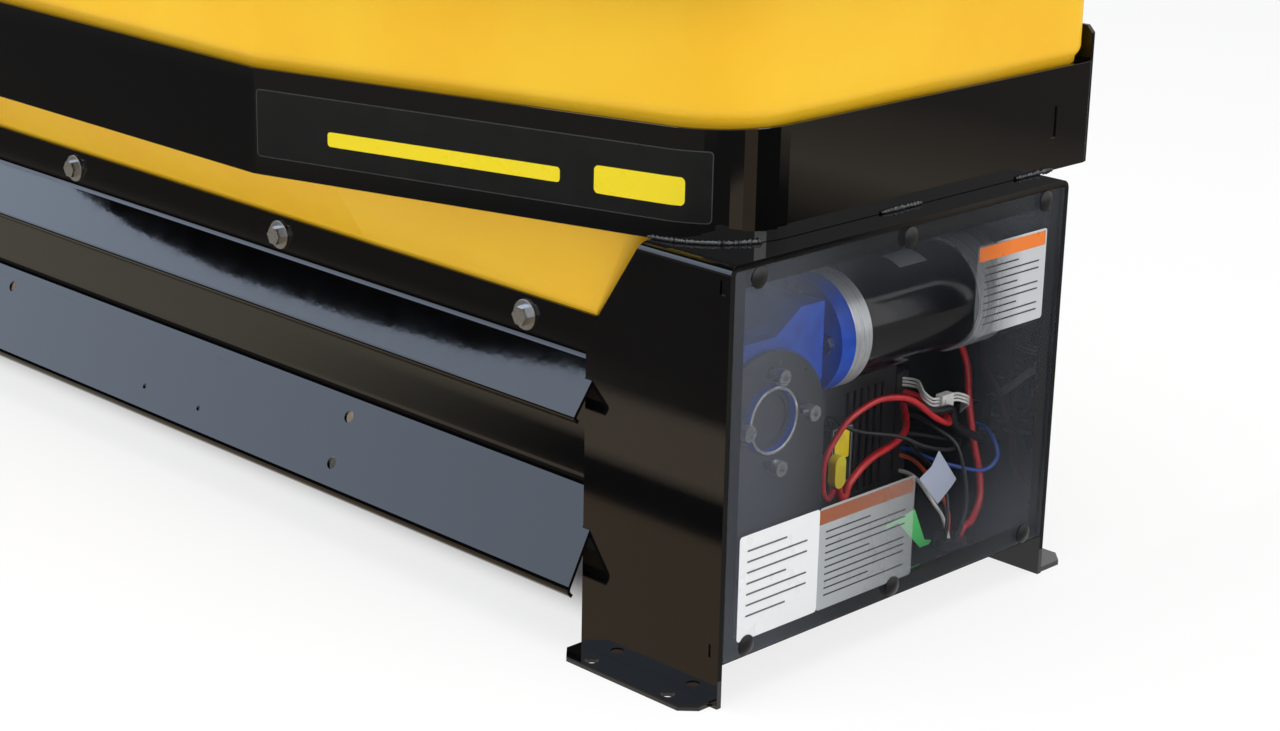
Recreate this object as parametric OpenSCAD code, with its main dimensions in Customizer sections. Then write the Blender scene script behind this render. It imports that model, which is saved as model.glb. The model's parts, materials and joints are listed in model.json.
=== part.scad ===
// Drop-type salt spreader: a yellow hopper over a full-width auger trough,
// held between two end frames, with the worm-gear drive in the right-hand one.
// X runs along the machine (drive end at +X), -Y is its front, Z is up.

/* [End frames] */
// Clear length between the two end frames, which is the spreading width
span = 1444; // [1200:4:1800]
// Width of each end frame along the machine
end_w = 151; // [146:1:170]
// Front-to-back size of each end frame
frame_d = 411.9; // [400:0.1:430]
// Height of the end frames
frame_h = 354.5; // [350:0.5:370]
// Thickness of the end frame's sheet
frame_t = 4.75; // [3:0.25:5]
// Outside radius of the end frame's bends
frame_bend = 8; // [6:0.5:12]
// Height of the slanted inner corner of each leg
slant_rise = 89; // [80:1:95]
// Width of the slanted inner corner of each leg
slant_run = 58; // [50:1:62]
// Thickness of the bulkheads and of the drive box's floor
wall_t = 3; // [2:0.5:4]
// Height of the underside of the drive box's floor
floor_z = 34; // [25:1:40]
// Width of the lips that the clear cover lies on
lip_w = 15; // [12:0.5:20]
// Thickness of those lips
lip_t = 3; // [2:0.5:4]

/* [Feet] */
// Reach of the front feet from the leg
foot_front = 23.75; // [20:0.25:30]
// Reach of the rear feet from the leg
foot_rear = 39.25; // [30:0.25:50]
// Width of each foot along the machine
foot_w = 148; // [140:1:150]
// How far the front feet sit inboard of the leg's middle
foot_shift = 6; // [0:0.5:8]
// Thickness of each foot
foot_t = 4.5; // [3:0.5:6]
// Chamfer on each foot's outer corners
foot_chamfer = 12; // [8:0.5:15]
// Diameter of the foot's bolt holes
foot_hole = 11; // [9:0.5:13]
// Distance between the two bolt holes of a foot
foot_pitch = 85; // [75:1:95]
// Distance from a foot's outer edge to its bolt holes
foot_edge = 9.5; // [8:0.5:12]

/* [Clear cover] */
// Thickness of the clear cover
cover_t = 3; // [2:0.5:5]
// Gap between the clear cover and the frame beside it
cover_gap = 0.5; // [0.3:0.1:1]
// Gap between the clear cover and the frame above it
cover_top_gap = 0.75; // [0.5:0.05:1.5]
// Radius of the clear cover's upper corners
cover_corner = 3; // [2:0.5:3.5]
// Distance of the push rivets from the cover's side edges
rivet_side = 26; // [18:0.5:35]
// Distance of the push rivets from the cover's top and bottom edges
rivet_edge = 8.3; // [7:0.1:10]
// Diameter of the push rivet's head
rivet_head = 17; // [13:0.5:18]
// Height of the push rivet's head
rivet_rise = 2.5; // [2:0.1:4]
// Diameter of the push rivet's shank
rivet_shank = 6; // [5:0.2:7]

/* [Hopper band and back plate] */
// Reach of the front band ahead of the drive box
band_front = 98; // [90:1:110]
// Half length of the straight middle of the front band
band_flat = 426; // [380:2:460]
// Where the tapered band would meet the end band, behind the box's front
band_corner_y = 27; // [20:1:35]
// Radius of the band's corners in plan
band_corner_r = 80; // [60:2:95]
// How far the end band stands back from the end frame's outer face
band_inset = 28; // [24:1:36]
// Height of the band
band_h = 88; // [70:1:100]
// Thickness of the band
band_t = 4; // [3:0.5:6]
// Distance from the box's front to the back of the band
band_back = 466; // [455:1:475]
// Thickness of the back plate
back_t = 4; // [3:0.5:6]
// How far the back plate rises above the band
back_rise = 30; // [20:1:40]
// Chamfer on the back plate's upper corners
back_chamfer = 6; // [4:0.5:10]

/* [Hopper and lid] */
// Height of the hopper's rim above the band
rim_rise = 138; // [120:2:200]
// Wall thickness of the hopper
hopper_t = 6; // [4:0.5:7]
// Wall thickness of the hopper's bottom lips
hopper_lip_t = 5; // [4:0.5:6]
// Height of the hopper's bottom lips
hopper_lip_h = 32; // [28:1:36]
// Reach of the rim's flange
rim_out = 12; // [9:0.5:15]
// Thickness of the rim's flange
rim_t = 6; // [4:0.5:8]
// Wall thickness of the lid
lid_t = 4; // [3:0.5:5]
// Gap between the lid and the rim
lid_gap = 2; // [1:0.2:3]
// Depth of the lid's skirt below the rim
lid_skirt = 14; // [10:0.5:20]
// Height of the lid's crown above the rim
lid_crown = 30; // [20:1:40]
// Diameter of the lid's hinge pins
hinge_pin = 6; // [5:0.5:8]
// Distance of each hinge from the machine's middle
hinge_x = 480; // [300:5:600]
// Length of each hinge along the machine
hinge_l = 90; // [70:2:120]

/* [Trough, gate and plates] */
// Distance from the box's front to the auger's axis
axis_y = 93; // [88:0.5:98]
// Distance from the end frame's top down to the auger's axis
axis_drop = 151.5; // [146:0.5:156]
// Inside radius of the trough
trough_r = 76; // [74:0.5:80]
// Thickness of the trough's sheet
trough_t = 3; // [2:0.5:4]
// Height of the trough's side walls above the auger's axis
trough_rise = 75; // [70:1:76]
// Thickness of the eave and the bolted strips
strip_t = 3; // [2:0.5:4]
// Height of the hopper bolts above the auger's axis
bolt_rise = 60; // [56:1:64]
// Distance of the end hopper bolts from the end frames
bolt_end = 80.8; // [60:0.2:120]
// Length of each discharge slot
slot_l = 44; // [30:1:50]
// Width of each discharge slot
slot_w = 30; // [20:1:40]
// Distance of the end discharge slots' middles from the end frames
slot_end = 128; // [115:1:150]
// Thickness of the sliding gate
gate_t = 3; // [2:0.5:4]
// Running gap on each side of the sliding gate
gate_gap = 0.3; // [0.2:0.1:0.6]
// Width of the sliding gate's tongue and of its handle's grip
tongue_w = 20; // [16:1:26]

/* [Auger and idler bearing] */
// Outside radius of the auger's flighting
auger_r = 71; // [60:0.5:72]
// Distance along the auger that one turn of flighting takes
auger_pitch = 140; // [120:2:180]
// Thickness of the flighting
flight_t = 5; // [3:0.5:6]
// Diameter of the auger's tube
shaft_d = 32; // [30:0.5:40]
// Diameter of the auger's journals
journal_d = 25; // [20:0.5:28]
// Side of the idler bearing's square flange
bearing_side = 95; // [90:1:105]

/* [Gearbox and motor] */
// Width of the gearbox along the auger's axis
gear_w = 78; // [76:1:82]
// How far the gearbox's front face stands back from the frame's outer face
gear_inset = 50; // [47:0.5:52]
// Distance from the auger's axis up to the motor's axis
centre_rise = 43; // [42:0.5:46]
// Number of teeth on the worm wheel
wheel_teeth = 30; // [20:1:40]
// Outside radius of the motor's can
motor_r = 48; // [44:0.5:49]
// Radius of the motor's end bells
bell_r = 50; // [46:0.5:52]
// Distance from the box's front to the gearbox's motor flange
motor_y = 188; // [184:1:196]
// Gap between the motor's rear bell and the drive box's back
motor_gap = 9.4; // [4:0.2:20]
// Half width of the arched plate
arch_r = 67; // [60:0.5:68]
// Thickness of the arched plate
arch_t = 5; // [3:0.5:6]
// Diameter of the circle of the four plate screws
screw_pcd = 75; // [74:0.5:78]

/* [Hidden] */

// Everything below is worked out from the sizes above
$fn = 48;
clear = 0.3;
x_leg = span / 2;
x_out = x_leg + end_w;
box_d = frame_d - 2 * frame_t;
slant_z = frame_h - slant_rise;
top_under = frame_h - frame_t;
floor_top = floor_z + wall_t;
cover_z0 = floor_top;
cover_z1 = top_under - cover_top_gap;
band_z0 = frame_h;
band_z1 = frame_h + band_h;
band_x = x_out - band_inset;
rim_z = band_z1 + rim_rise;
axis_z = frame_h - axis_drop;
wall_y = trough_r + trough_t;
lip_y = wall_y + hopper_lip_t;
strip_y = lip_y + strip_t;
trough_top = axis_z + trough_rise;
lip_z1 = trough_top + 4;
lip_z0 = lip_z1 - hopper_lip_h;
slot_pitch = (span - 2 * slot_end) / 11;
gate_travel = slot_pitch / 2;
bolt_pitch = (span / 2 - bolt_end) / 2;
gate_r0 = wall_y + gate_gap;
gate_r1 = gate_r0 + gate_t;
gear_x1 = x_out - gear_inset;
gear_x0 = gear_x1 - gear_w;
motor_x = (gear_x0 + gear_x1) / 2;
motor_z = axis_z + centre_rise;
motor_end = box_d - motor_gap;
// The origin is the middle of the part's own box, on the floor
hinge_y = band_back + rim_out + lid_gap + lid_t + 7;
hinge_z = rim_z - lid_skirt - 6;
knuckle_r = hinge_pin / 2 + 3;
y_back = hinge_y + knuckle_r;
y_front = -band_front - rim_out - lid_gap - lid_t;
row_shift = [-rivet_rise / 2, -(y_back + y_front) / 2, 0];

// ---- plain helpers ----
function unit(v) = v / norm(v);
// Points of an arc about c from angle a0 to a1
function arc(c, r, a0, a1, n = 8) =
    [for (i = [0:n]) let (a = a0 + (a1 - a0) * i / n) c + r * [cos(a), sin(a)]];
// Left-hand normal of a step of a path
function side(a, b) = let (u = unit(b - a)) [-u[1], u[0]];
// Point i of a path moved sideways by t, with mitred corners
function moved(p, i, t) =
    let (last = len(p) - 1,
         n1 = i > 0 ? side(p[i - 1], p[i]) : side(p[0], p[1]),
         n2 = i < last ? side(p[i], p[i + 1]) : side(p[last - 1], p[last]))
    p[i] + t * (n1 + n2) / (1 + n1 * n2);
// Outline of a bent sheet of thickness t
function sheet(p, t) = concat(p, [for (i = [len(p) - 1:-1:0]) moved(p, i, t)]);
// Rounds the inner corners of a path over a length r each side
function bent(p, r, n = 4) = [for (i = [0:len(p) - 1])
    each (i == 0 || i == len(p) - 1) ? [p[i]] :
        let (a = p[i] + r * unit(p[i - 1] - p[i]), c = p[i] + r * unit(p[i + 1] - p[i]))
        [for (k = [0:n]) let (s = k / n) (1 - s) * (1 - s) * a + 2 * s * (1 - s) * p[i] + s * s * c]];

module placed() { translate(row_shift) children(); }
// A YZ outline carried along X from x0 to x1
module along_x(x0, x1) { translate([x0, 0, 0]) rotate([90, 0, 90]) linear_extrude(x1 - x0) children(); }
// An XZ outline carried along Y from y0 to y1
module along_y(y0, y1) { translate([0, y1, 0]) rotate([90, 0, 0]) linear_extrude(y1 - y0) children(); }
module rod_x(x0, x1, r, y, z) { translate([x0, y, z]) rotate([0, 90, 0]) cylinder(h = x1 - x0, r = r); }
module rod_y(y0, y1, r, x, z) { translate([x, y1, z]) rotate([90, 0, 0]) cylinder(h = y1 - y0, r = r); }
module rod_z(z0, z1, r, x, y) { translate([x, y, z0]) cylinder(h = z1 - z0, r = r); }
module box(a, b) { translate(a) cube(b - a); }
// Draws its children at both ends of the machine
module both_ends() { children(); mirror([1, 0, 0]) children(); }
// A hexagon of size af across its flats, along Y from y0 to y1
module hex_y(y0, y1, af, x, z) {
    translate([x, y1, z]) rotate([90, 0, 0]) cylinder(h = y1 - y0, r = af / 2 / cos(30), $fn = 6);
}
module hex_x(x0, x1, af, y, z) {
    translate([x0, y, z]) rotate([0, 90, 0]) cylinder(h = x1 - x0, r = af / 2 / cos(30), $fn = 6);
}
module hex_z(z0, z1, af, x, y) { translate([x, y, z0]) cylinder(h = z1 - z0, r = af / 2 / cos(30), $fn = 6); }

// ---- end frames ----
rivet_y = [rivet_side, box_d / 2, box_d - rivet_side];
foot_mid = (x_leg + x_out) / 2;

// One foot: a flat plate that the leg's sheet turns out into
module foot(x_mid, y_leg, reach, out) {
    half = foot_w / 2;
    tip = y_leg + out * reach;
    hole_y = tip - out * foot_edge;
    difference() {
        linear_extrude(foot_t) polygon([[x_mid - half, y_leg - out * frame_t],
            [x_mid - half, tip - out * foot_chamfer], [x_mid - half + foot_chamfer, tip],
            [x_mid + half - foot_chamfer, tip], [x_mid + half, tip - out * foot_chamfer],
            [x_mid + half, y_leg - out * frame_t]]);
        for (s = [-1, 1]) rod_z(-1, foot_t + 1, foot_hole / 2, x_mid + s * foot_pitch / 2, hole_y);
    }
}

// Slots that the welded lips and brackets are keyed into, seen as shallow pockets
tab_depth = 1.2;
tab_w = 5.5;
tab_l = 11;
tab_in = 10.5;
band_tab_w = 5;
band_tab_l = 27;
band_tab_in = 49.5;
band_tab_rise = 28.5;

// The inverted U of bent sheet with its feet and the lips behind the cover
module end_frame() {
    y0 = -frame_t;
    y1 = box_d + frame_t;
    x_lip = x_out - cover_t;
    difference() {
        union() {
            along_x(x_leg, x_out) polygon(concat([[y0, 0]],
                arc([y0 + frame_bend, frame_h - frame_bend], frame_bend, 180, 90),
                arc([y1 - frame_bend, frame_h - frame_bend], frame_bend, 90, 0),
                [[y1, 0], [y1 - frame_t, 0]],
                arc([y1 - frame_bend, frame_h - frame_bend], frame_bend - frame_t, 0, 90),
                arc([y0 + frame_bend, frame_h - frame_bend], frame_bend - frame_t, 90, 180),
                [[y0 + frame_t, 0]]));
            foot(foot_mid - foot_shift, y0, foot_front, -1);
            foot(foot_mid, y1, foot_rear, 1);
            box([x_lip - lip_t, -1, cover_z1 - lip_w], [x_lip, box_d + 1, top_under + 1]);
            box([x_lip - lip_t, -1, floor_top + lip_w], [x_lip, lip_w, cover_z1]);
            box([x_lip - lip_t, box_d - lip_w, floor_top + lip_w], [x_lip, box_d + 1, cover_z1]);
        }
        // The slanted inner corner clears the hopper's end wall
        along_y(y0 - 1, y1 + 1) polygon([[x_leg - 1, slant_z], [x_leg, slant_z],
            [x_leg + slant_run, frame_h], [x_leg + slant_run, frame_h + 1], [x_leg - 1, frame_h + 1]]);
        for (y = rivet_y)
            rod_x(x_lip - lip_t - 1, x_lip + 1, rivet_shank / 2 + clear, y, cover_z1 - rivet_edge);
        for (y = [y0 - 1, y1 - tab_depth], z = [floor_top + 4, cover_z1 - lip_w - 3])
            box([x_out - tab_in, y, z], [x_out - tab_in + tab_w, y + tab_depth + 1, z + tab_l]);
    }
}

// Bulkhead that closes the trough's end, leans out under the hopper and turns into the floor
module bulkhead(bore) {
    lean = slant_run / slant_rise;
    top_x = x_leg + slant_run - lean * frame_t;
    thick = wall_t * norm([slant_run, slant_rise]) / slant_rise;
    x_lip = x_out - cover_t;
    corner_r = frame_bend - frame_t;
    difference() {
        intersection() {
            along_y(0, box_d) polygon([[x_leg, floor_z], [x_leg, slant_z], [top_x, top_under],
                [top_x + thick, top_under], [x_leg + wall_t, slant_z - 1], [x_leg + wall_t, floor_top],
                [x_lip - lip_t, floor_top], [x_lip - lip_t, floor_top + lip_w], [x_lip, floor_top + lip_w],
                [x_lip, floor_z]]);
            along_x(x_leg - 1, x_out) polygon(concat([[0, 0]],
                arc([corner_r, top_under - corner_r], corner_r, 180, 90),
                arc([box_d - corner_r, top_under - corner_r], corner_r, 90, 0), [[box_d, 0]]));
        }
        rod_x(x_leg - 1, x_leg + wall_t + 1, bore, axis_y, axis_z);
        for (y = rivet_y)
            rod_x(x_lip - lip_t - 1, x_lip + 1, rivet_shank / 2 + clear, y, cover_z0 + rivet_edge);
        children();
    }
}

seal_r = journal_d / 2 + 5.5;
seal_flange_r = 28;
seal_flange_t = 5;

module drive_end_frame() color("#17181a") placed() end_frame();
module idler_end_frame() color("#17181a") placed() mirror([1, 0, 0]) end_frame();
module drive_bulkhead() color("#202226") placed() bulkhead(seal_r + clear) {
    rod_z(floor_z - 1, floor_top + 1, gland_r + clear, x_out + inlet_x, inlet_y);
    at_reaction_bolts() rod_z(floor_z - 1, floor_top + 1, reaction_bolt / 2 + clear, 0, 0);
}
module idler_bulkhead() color("#202226") placed() mirror([1, 0, 0]) bulkhead(seal_r + clear) {
    // Way through for the gate's handle
    half = handle_w / 2 + handle_room;
    box([x_leg - 1, axis_y - half, handle_z0 - handle_room],
        [x_leg + wall_t + 1, axis_y + half, handle_z1 + handle_room]);
    for (a = [45:90:315]) rod_x(x_leg - 1, x_leg + wall_t + 1, bearing_bolt / 2 + clear,
        axis_y + bearing_hole * cos(a), axis_z + bearing_hole * sin(a));
}

// Radius of the hole for the vehicle harness's inlet in the drive box's floor
gland_r = 11;

// ---- band and back plate ----
// Half of the band's plan, moved inwards by d, as [front vertex, corner vertex]
taper_a = atan2(band_corner_y + band_front, band_x - band_flat);
function front_vertex(d) = [band_flat, -band_front] + d * [-tan(taper_a / 2), 1];
function corner_vertex(d) = [band_x, band_corner_y] + d * [-1, cos(taper_a) / (1 + sin(taper_a))];
// Front vertex a, rounded corner at b, back at y, rounded by rb: a quarter outline from front to back
function half_plan(a, b, r, y, rb) =
    let (t = atan2(b[1] - a[1], b[0] - a[0]), reach = r * tan((90 - t) / 2),
         c = [b[0] - r, b[1] + reach])
    concat([a], arc(c, r, t - 90, 0, arc_steps), arc([b[0] - rb, y - rb], rb, 0, 90, 4));
function mirrored(p) = [for (i = [len(p) - 1:-1:0]) [-p[i][0], p[i][1]]];
function full_plan(h) = concat(h, mirrored(h));
// The band's path from its front vertex round to the end plate, without the back corner
arc_steps = 10;
function band_path(d) =
    let (h = half_plan(front_vertex(d), corner_vertex(d), band_corner_r - d, band_back, 1))
    [for (i = [0:arc_steps + 1]) h[i]];

module band_wing() {
    outer = concat(band_path(0), [[band_x, band_back]]);
    inner = concat(band_path(band_t), [[band_x - band_t, band_back]]);
    difference() {
        translate([0, 0, band_z0]) linear_extrude(band_h)
            polygon(concat(outer, [for (i = [len(inner) - 1:-1:0]) inner[i]]));
        translate([band_x, band_back - band_tab_in, band_z0 + band_tab_rise])
            box([-tab_depth, 0, 0], [1, band_tab_w, band_tab_l]);
    }
}

module front_band() color("#17181a") placed() {
    inner = front_vertex(band_t);
    translate([0, 0, band_z0]) linear_extrude(band_h) polygon([[-band_flat, -band_front],
        [band_flat, -band_front], inner, [-inner[0], inner[1]]]);
}
module drive_band() color("#17181a") placed() band_wing();
module idler_band() color("#17181a") placed() mirror([1, 0, 0]) band_wing();
module back_plate() color("#17181a") placed() {
    x = band_x - 1;
    top = band_z1 + back_rise;
    along_y(band_back, band_back + back_t) polygon([[-x, band_z0], [x, band_z0], [x, top - back_chamfer],
        [x - back_chamfer, top], [-x + back_chamfer, top], [-x, top - back_chamfer]]);
}

// ---- hopper ----
function flat_points(rings, heights) =
    [for (j = [0:len(rings) - 1]) each [for (p = rings[j]) [p[0], p[1], heights[j]]]];
// Triangles between outline j and outline k, n points each
function band_faces(n, j, k) = [for (i = [0:n - 1]) let (i2 = (i + 1) % n)
    each [[j * n + i, j * n + i2, k * n + i2], [j * n + i, k * n + i2, k * n + i]]];
// A closed skin through outlines that go down the outside and up the inside
module shell_loft(rings, heights) {
    n = len(rings[0]);
    m = len(rings);
    faces = [for (j = [0:m - 1]) each band_faces(n, j, (j + 1) % m)];
    polyhedron(flat_points(rings, heights), faces, convexity = 6);
}
// A solid through outlines from its top to its bottom
module solid_loft(rings, heights) {
    n = len(rings[0]);
    m = len(rings);
    polyhedron(flat_points(rings, heights), concat([for (j = [0:m - 2]) each band_faces(n, j, j + 1)],
        [[for (i = [n - 1:-1:0]) i]], [[for (i = [0:n - 1]) (m - 1) * n + i]]), convexity = 6);
}
hopper_back_r = 22;
// Upper outline, moved inwards by d from the band's outer face
function upper(d) = full_plan(half_plan(front_vertex(d), corner_vertex(d), max(band_corner_r - d, 20),
    band_back - clear - d, max(hopper_back_r - d, 4)));
// Bottom outline, moved inwards by d from the lips' outer faces
function lower(d) = full_plan(half_plan([band_flat, axis_y - lip_y + d],
    [x_leg - 1 - d, axis_y - lip_y + d], 2, axis_y + lip_y - d, 2));
band_clear = band_t + 0.5;
bolt_x = [for (i = [-2:2]) i * bolt_pitch];
bolt_z = axis_z + bolt_rise;
bolt_r = 4.75;
bolt_hole = bolt_r + 0.45;
// Draws its children at every hopper bolt, for front bolts as they are and mirrored for the rear ones
module at_hopper_bolts() {
    for (x = bolt_x) {
        translate([x, 0, 0]) children();
        translate([x, 2 * axis_y, 0]) mirror([0, 1, 0]) children();
    }
}
module bolt_holes() {
    at_hopper_bolts() rod_y(axis_y - strip_y - 2, axis_y - trough_r + 2, bolt_hole, 0, bolt_z);
}
module hopper() color("#ffc530") placed() {
    inset = 1;
    difference() {
        shell_loft([upper(-rim_out), upper(-rim_out), upper(inset), upper(inset), upper(inset + 0.6),
                upper(band_clear - 1.5), upper(band_clear), lower(0), lower(0),
                lower(hopper_lip_t), lower(hopper_lip_t), upper(band_clear + hopper_t),
                upper(inset + hopper_t + 1), upper(inset + hopper_t)],
            [rim_z, rim_z - rim_t, rim_z - rim_t, band_z1 + 13, band_z1 + 7,
                band_z1 + clear, band_z1 + clear, lip_z1, lip_z0,
                lip_z0, lip_z1 - 1, band_z1 + 4,
                band_z1 + 14, rim_z]);
        bolt_holes();
    }
}

// ---- lid, its handle and its hinges ----
lid_in = rim_out + lid_gap;
lid_top = rim_z + lid_crown;
handle_half = 60;
handle_r = 8;
handle_y = -band_front + 80;
module hopper_lid() color("#1b1c1e") placed() {
    out = lid_in + lid_t;
    seat = rim_z + clear;
    difference() {
        solid_loft([upper(-out + 60), upper(-out + 20), upper(-out + 6), upper(-out), upper(-out)],
            [lid_top, lid_top - 7, lid_top - 15, lid_top - 24, rim_z - lid_skirt]);
        solid_loft([upper(-lid_in + 58), upper(-lid_in + 22), upper(-lid_in + 9),
                upper(-lid_in), upper(-lid_in)],
            [lid_top - lid_t, lid_top - lid_t - 8, seat, seat, rim_z - lid_skirt - 1]);
    }
}
module lid_handle() color("#2a2b2d") placed() {
    for (s = [-1, 1]) {
        rod_z(lid_top, lid_top + 5, handle_r + 6, s * handle_half, handle_y);
        rod_z(lid_top, lid_top + 34, handle_r, s * handle_half, handle_y);
        translate([s * handle_half, handle_y, lid_top + 34]) sphere(r = handle_r);
    }
    rod_x(-handle_half, handle_half, handle_r, handle_y, lid_top + 34);
}

third = hinge_l / 3;
leaf_h = 34;
leaf_t = 3;
lid_back = band_back - clear + lid_in + lid_t;
hopper_back = band_back - clear - 1;
module lid_hinges() color("#5b5e62") placed() both_ends() difference() {
    half = third / 2 - clear;
    union() {
        box([hinge_x - hinge_l / 2, lid_back, hinge_z + knuckle_r + 2],
            [hinge_x + hinge_l / 2, lid_back + leaf_t, rim_z + 4]);
        box([hinge_x - half, lid_back, hinge_z], [hinge_x + half, hinge_y, hinge_z + knuckle_r + 3]);
        rod_x(hinge_x - half, hinge_x + half, knuckle_r, hinge_y, hinge_z);
    }
    rod_x(hinge_x - hinge_l, hinge_x + hinge_l, hinge_pin / 2 + 0.1, hinge_y, hinge_z);
}
module hopper_hinges() color("#5b5e62") placed() both_ends() difference() {
    union() {
        box([hinge_x - hinge_l / 2, hopper_back, hinge_z - leaf_h],
            [hinge_x + hinge_l / 2, hopper_back + leaf_t, hinge_z + 1]);
        for (s = [-1, 1]) translate([hinge_x + s * third, 0, 0]) {
            box([-third / 2, hopper_back, hinge_z - 5], [third / 2, hinge_y, hinge_z + 1]);
            rod_x(-third / 2, third / 2, knuckle_r, hinge_y, hinge_z);
        }
    }
    rod_x(hinge_x - hinge_l, hinge_x + hinge_l, hinge_pin / 2 + 0.05, hinge_y, hinge_z);
}
module hinge_pins() color("#b9bdc2") placed() both_ends() {
    rod_x(hinge_x - hinge_l / 2 - 2, hinge_x + hinge_l / 2, hinge_pin / 2, hinge_y, hinge_z);
    rod_x(hinge_x + hinge_l / 2, hinge_x + hinge_l / 2 + 3, hinge_pin / 2 + 2, hinge_y, hinge_z);
}

// ---- trough, strips and deflectors ----
slot_x = [for (i = [-5.5:5.5]) i * slot_pitch];
// The row of discharge slots, from x0 to x1
module slot_row(x0, x1) {
    box([x0, axis_y - slot_w / 2, axis_z - wall_y - 20], [x1, axis_y + slot_w / 2, axis_z - trough_r + 10]);
}
// The stretches of the row between the slots of a sheet that runs from x0 to x1
module between_slots(x0, x1) {
    edges = concat([x0], [for (x = slot_x) each [x - slot_l / 2, x + slot_l / 2]], [x1]);
    for (i = [0:len(edges) / 2 - 1]) slot_row(edges[2 * i], edges[2 * i + 1]);
}
// Room that the trough's upper corners leave for the hopper's end lips
lip_room = 4;
module trough_sheet() difference() {
    union() {
        rod_x(-x_leg, x_leg, wall_y, axis_y, axis_z);
        box([-x_leg, axis_y - wall_y, axis_z], [x_leg, axis_y + wall_y, trough_top]);
    }
    rod_x(-x_leg - 1, x_leg + 1, trough_r, axis_y, axis_z);
    box([-x_leg - 1, axis_y - trough_r, axis_z], [x_leg + 1, axis_y + trough_r, axis_z + wall_y + 1]);
    both_ends() box([x_leg - hopper_lip_t - lip_room, axis_y - wall_y - 1, lip_z0 - 0.5],
        [x_leg + 1, axis_y + wall_y + 1, trough_top + 1]);
    bolt_holes();
}
// Front and rear half of the trough, each a wall that curves in under the auger
module trough_walls() color("#26282b") placed() difference() {
    trough_sheet();
    slot_row(-x_leg - 1, x_leg + 1);
}
// The trough's floor between the discharge slots
module trough_bridges() color("#26282b") placed() intersection() {
    trough_sheet();
    between_slots(-x_leg, x_leg);
}

// The plates stop short of the legs, and run on in front of them
plate_over = 7.5;
module leg_room() {
    both_ends() box([x_leg - 0.5, -frame_t - clear, 0], [x_out, box_d, frame_h]);
}
// Eave: the bolted strip, the sloped drip plate and its turned-in lip
eave_drop = 42.5;
eave_out = 31;
strip_face = axis_y - strip_y;
eave_rise = 43.5;
strip_bend = axis_z + eave_rise;
module front_eave() color("#17181a") placed() difference() {
    along_x(-x_leg - plate_over, x_leg + plate_over) polygon(sheet(bent([[strip_face, lip_z1 - 2],
        [strip_face, strip_bend], [strip_face - eave_out, strip_bend - eave_drop],
        [strip_face - eave_out + 5, strip_bend - eave_drop - 5]], 3.5), strip_t));
    leg_room();
    bolt_holes();
}
module rear_strip() color("#17181a") placed() difference() {
    box([-x_leg + 0.5, axis_y + lip_y, lip_z0 - 8], [x_leg - 0.5, axis_y + strip_y, lip_z1 - 2]);
    bolt_holes();
}
// Deflector: upright against the trough, then sloped outwards to a turned-in lip
skirt_face = axis_y - wall_y - strip_t;
skirt_bend = axis_z - 65.6;
skirt_out = 41;
skirt_drop = 79;
function skirt_path() = bent([[skirt_face, lip_z0 - 6], [skirt_face, skirt_bend],
    [skirt_face - skirt_out, skirt_bend - skirt_drop],
    [skirt_face - skirt_out + 6, skirt_bend - skirt_drop - 5]], 6);
skirt_dir = unit([-skirt_out, -skirt_drop]);
// A hole square to the sloped plate, at distance down its slope from the bend
module skirt_hole(x, down, r) {
    translate([x, skirt_face + down * skirt_dir[0], skirt_bend + down * skirt_dir[1]])
        rotate([atan2(skirt_drop, skirt_out), 0, 0]) translate([0, 0, -10]) cylinder(h = 20, r = r);
}
// Holes for an accessory, along the plate and down its slope, and two small tab holes
skirt_hole_x = [70 - x_leg, -117, 419];
skirt_hole_high = 20;
skirt_hole_low = 63;
skirt_slot_x = [138, 223];
skirt_slot_r = 2.5;
module front_deflector() color("#17181a") placed() difference() {
    along_x(-x_leg - plate_over, x_leg + plate_over) polygon(sheet(skirt_path(), strip_t));
    leg_room();
    for (x = skirt_hole_x) skirt_hole(x, skirt_hole_high, foot_hole / 2);
    skirt_hole(skirt_hole_x[2], skirt_hole_low, foot_hole / 2);
    for (x = skirt_slot_x) skirt_hole(x, skirt_hole_low, skirt_slot_r);
}
module rear_deflector() color("#17181a") placed()
    translate([0, 2 * axis_y, 0]) mirror([0, 1, 0])
        along_x(-x_leg + 0.5, x_leg - 0.5) polygon(sheet(skirt_path(), strip_t));

// ---- hopper bolts ----
washer_r = 12.7;
washer_t = 2;
bolt_af = 14.3;
module hopper_bolts() color("#c9ccd0") placed() at_hopper_bolts() {
    hex_y(strip_face - washer_t - 6.2, strip_face - washer_t, bolt_af, 0, bolt_z);
    rod_y(strip_face - washer_t, axis_y - trough_r + 11, bolt_r, 0, bolt_z);
}
module hopper_washers() color("#b9bdc2") placed() at_hopper_bolts() difference() {
    rod_y(strip_face - washer_t, strip_face, washer_r, 0, bolt_z);
    rod_y(strip_face - washer_t - 1, strip_face + 1, bolt_r + 0.25, 0, bolt_z);
}
module hopper_nuts() color("#b9bdc2") placed() at_hopper_bolts() difference() {
    hex_y(axis_y - trough_r, axis_y - trough_r + 8, bolt_af, 0, bolt_z);
    rod_y(axis_y - trough_r - 1, axis_y - trough_r + 9, bolt_r, 0, bolt_z);
}

// ---- sliding gate ----
gate_angle = 38;
gate_end = 30;
gate_x0 = -slot_pitch * 5.5 - slot_l / 2 - gate_end;
gate_x1 = slot_pitch * 5.5 + slot_l / 2 + gate_travel + gate_end;
hanger_x = [for (i = [-2:2]) i * 2 * slot_pitch];
hanger_w = 20;
handle_w = tongue_w;
handle_overlap = 25;
grip_half = 26;
grip_rise = 16;
grip_t = 6;
handle_gap = 7;
handle_room = 2;
handle_z1 = axis_z - gate_r1;
handle_z0 = handle_z1 - 5;
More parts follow.
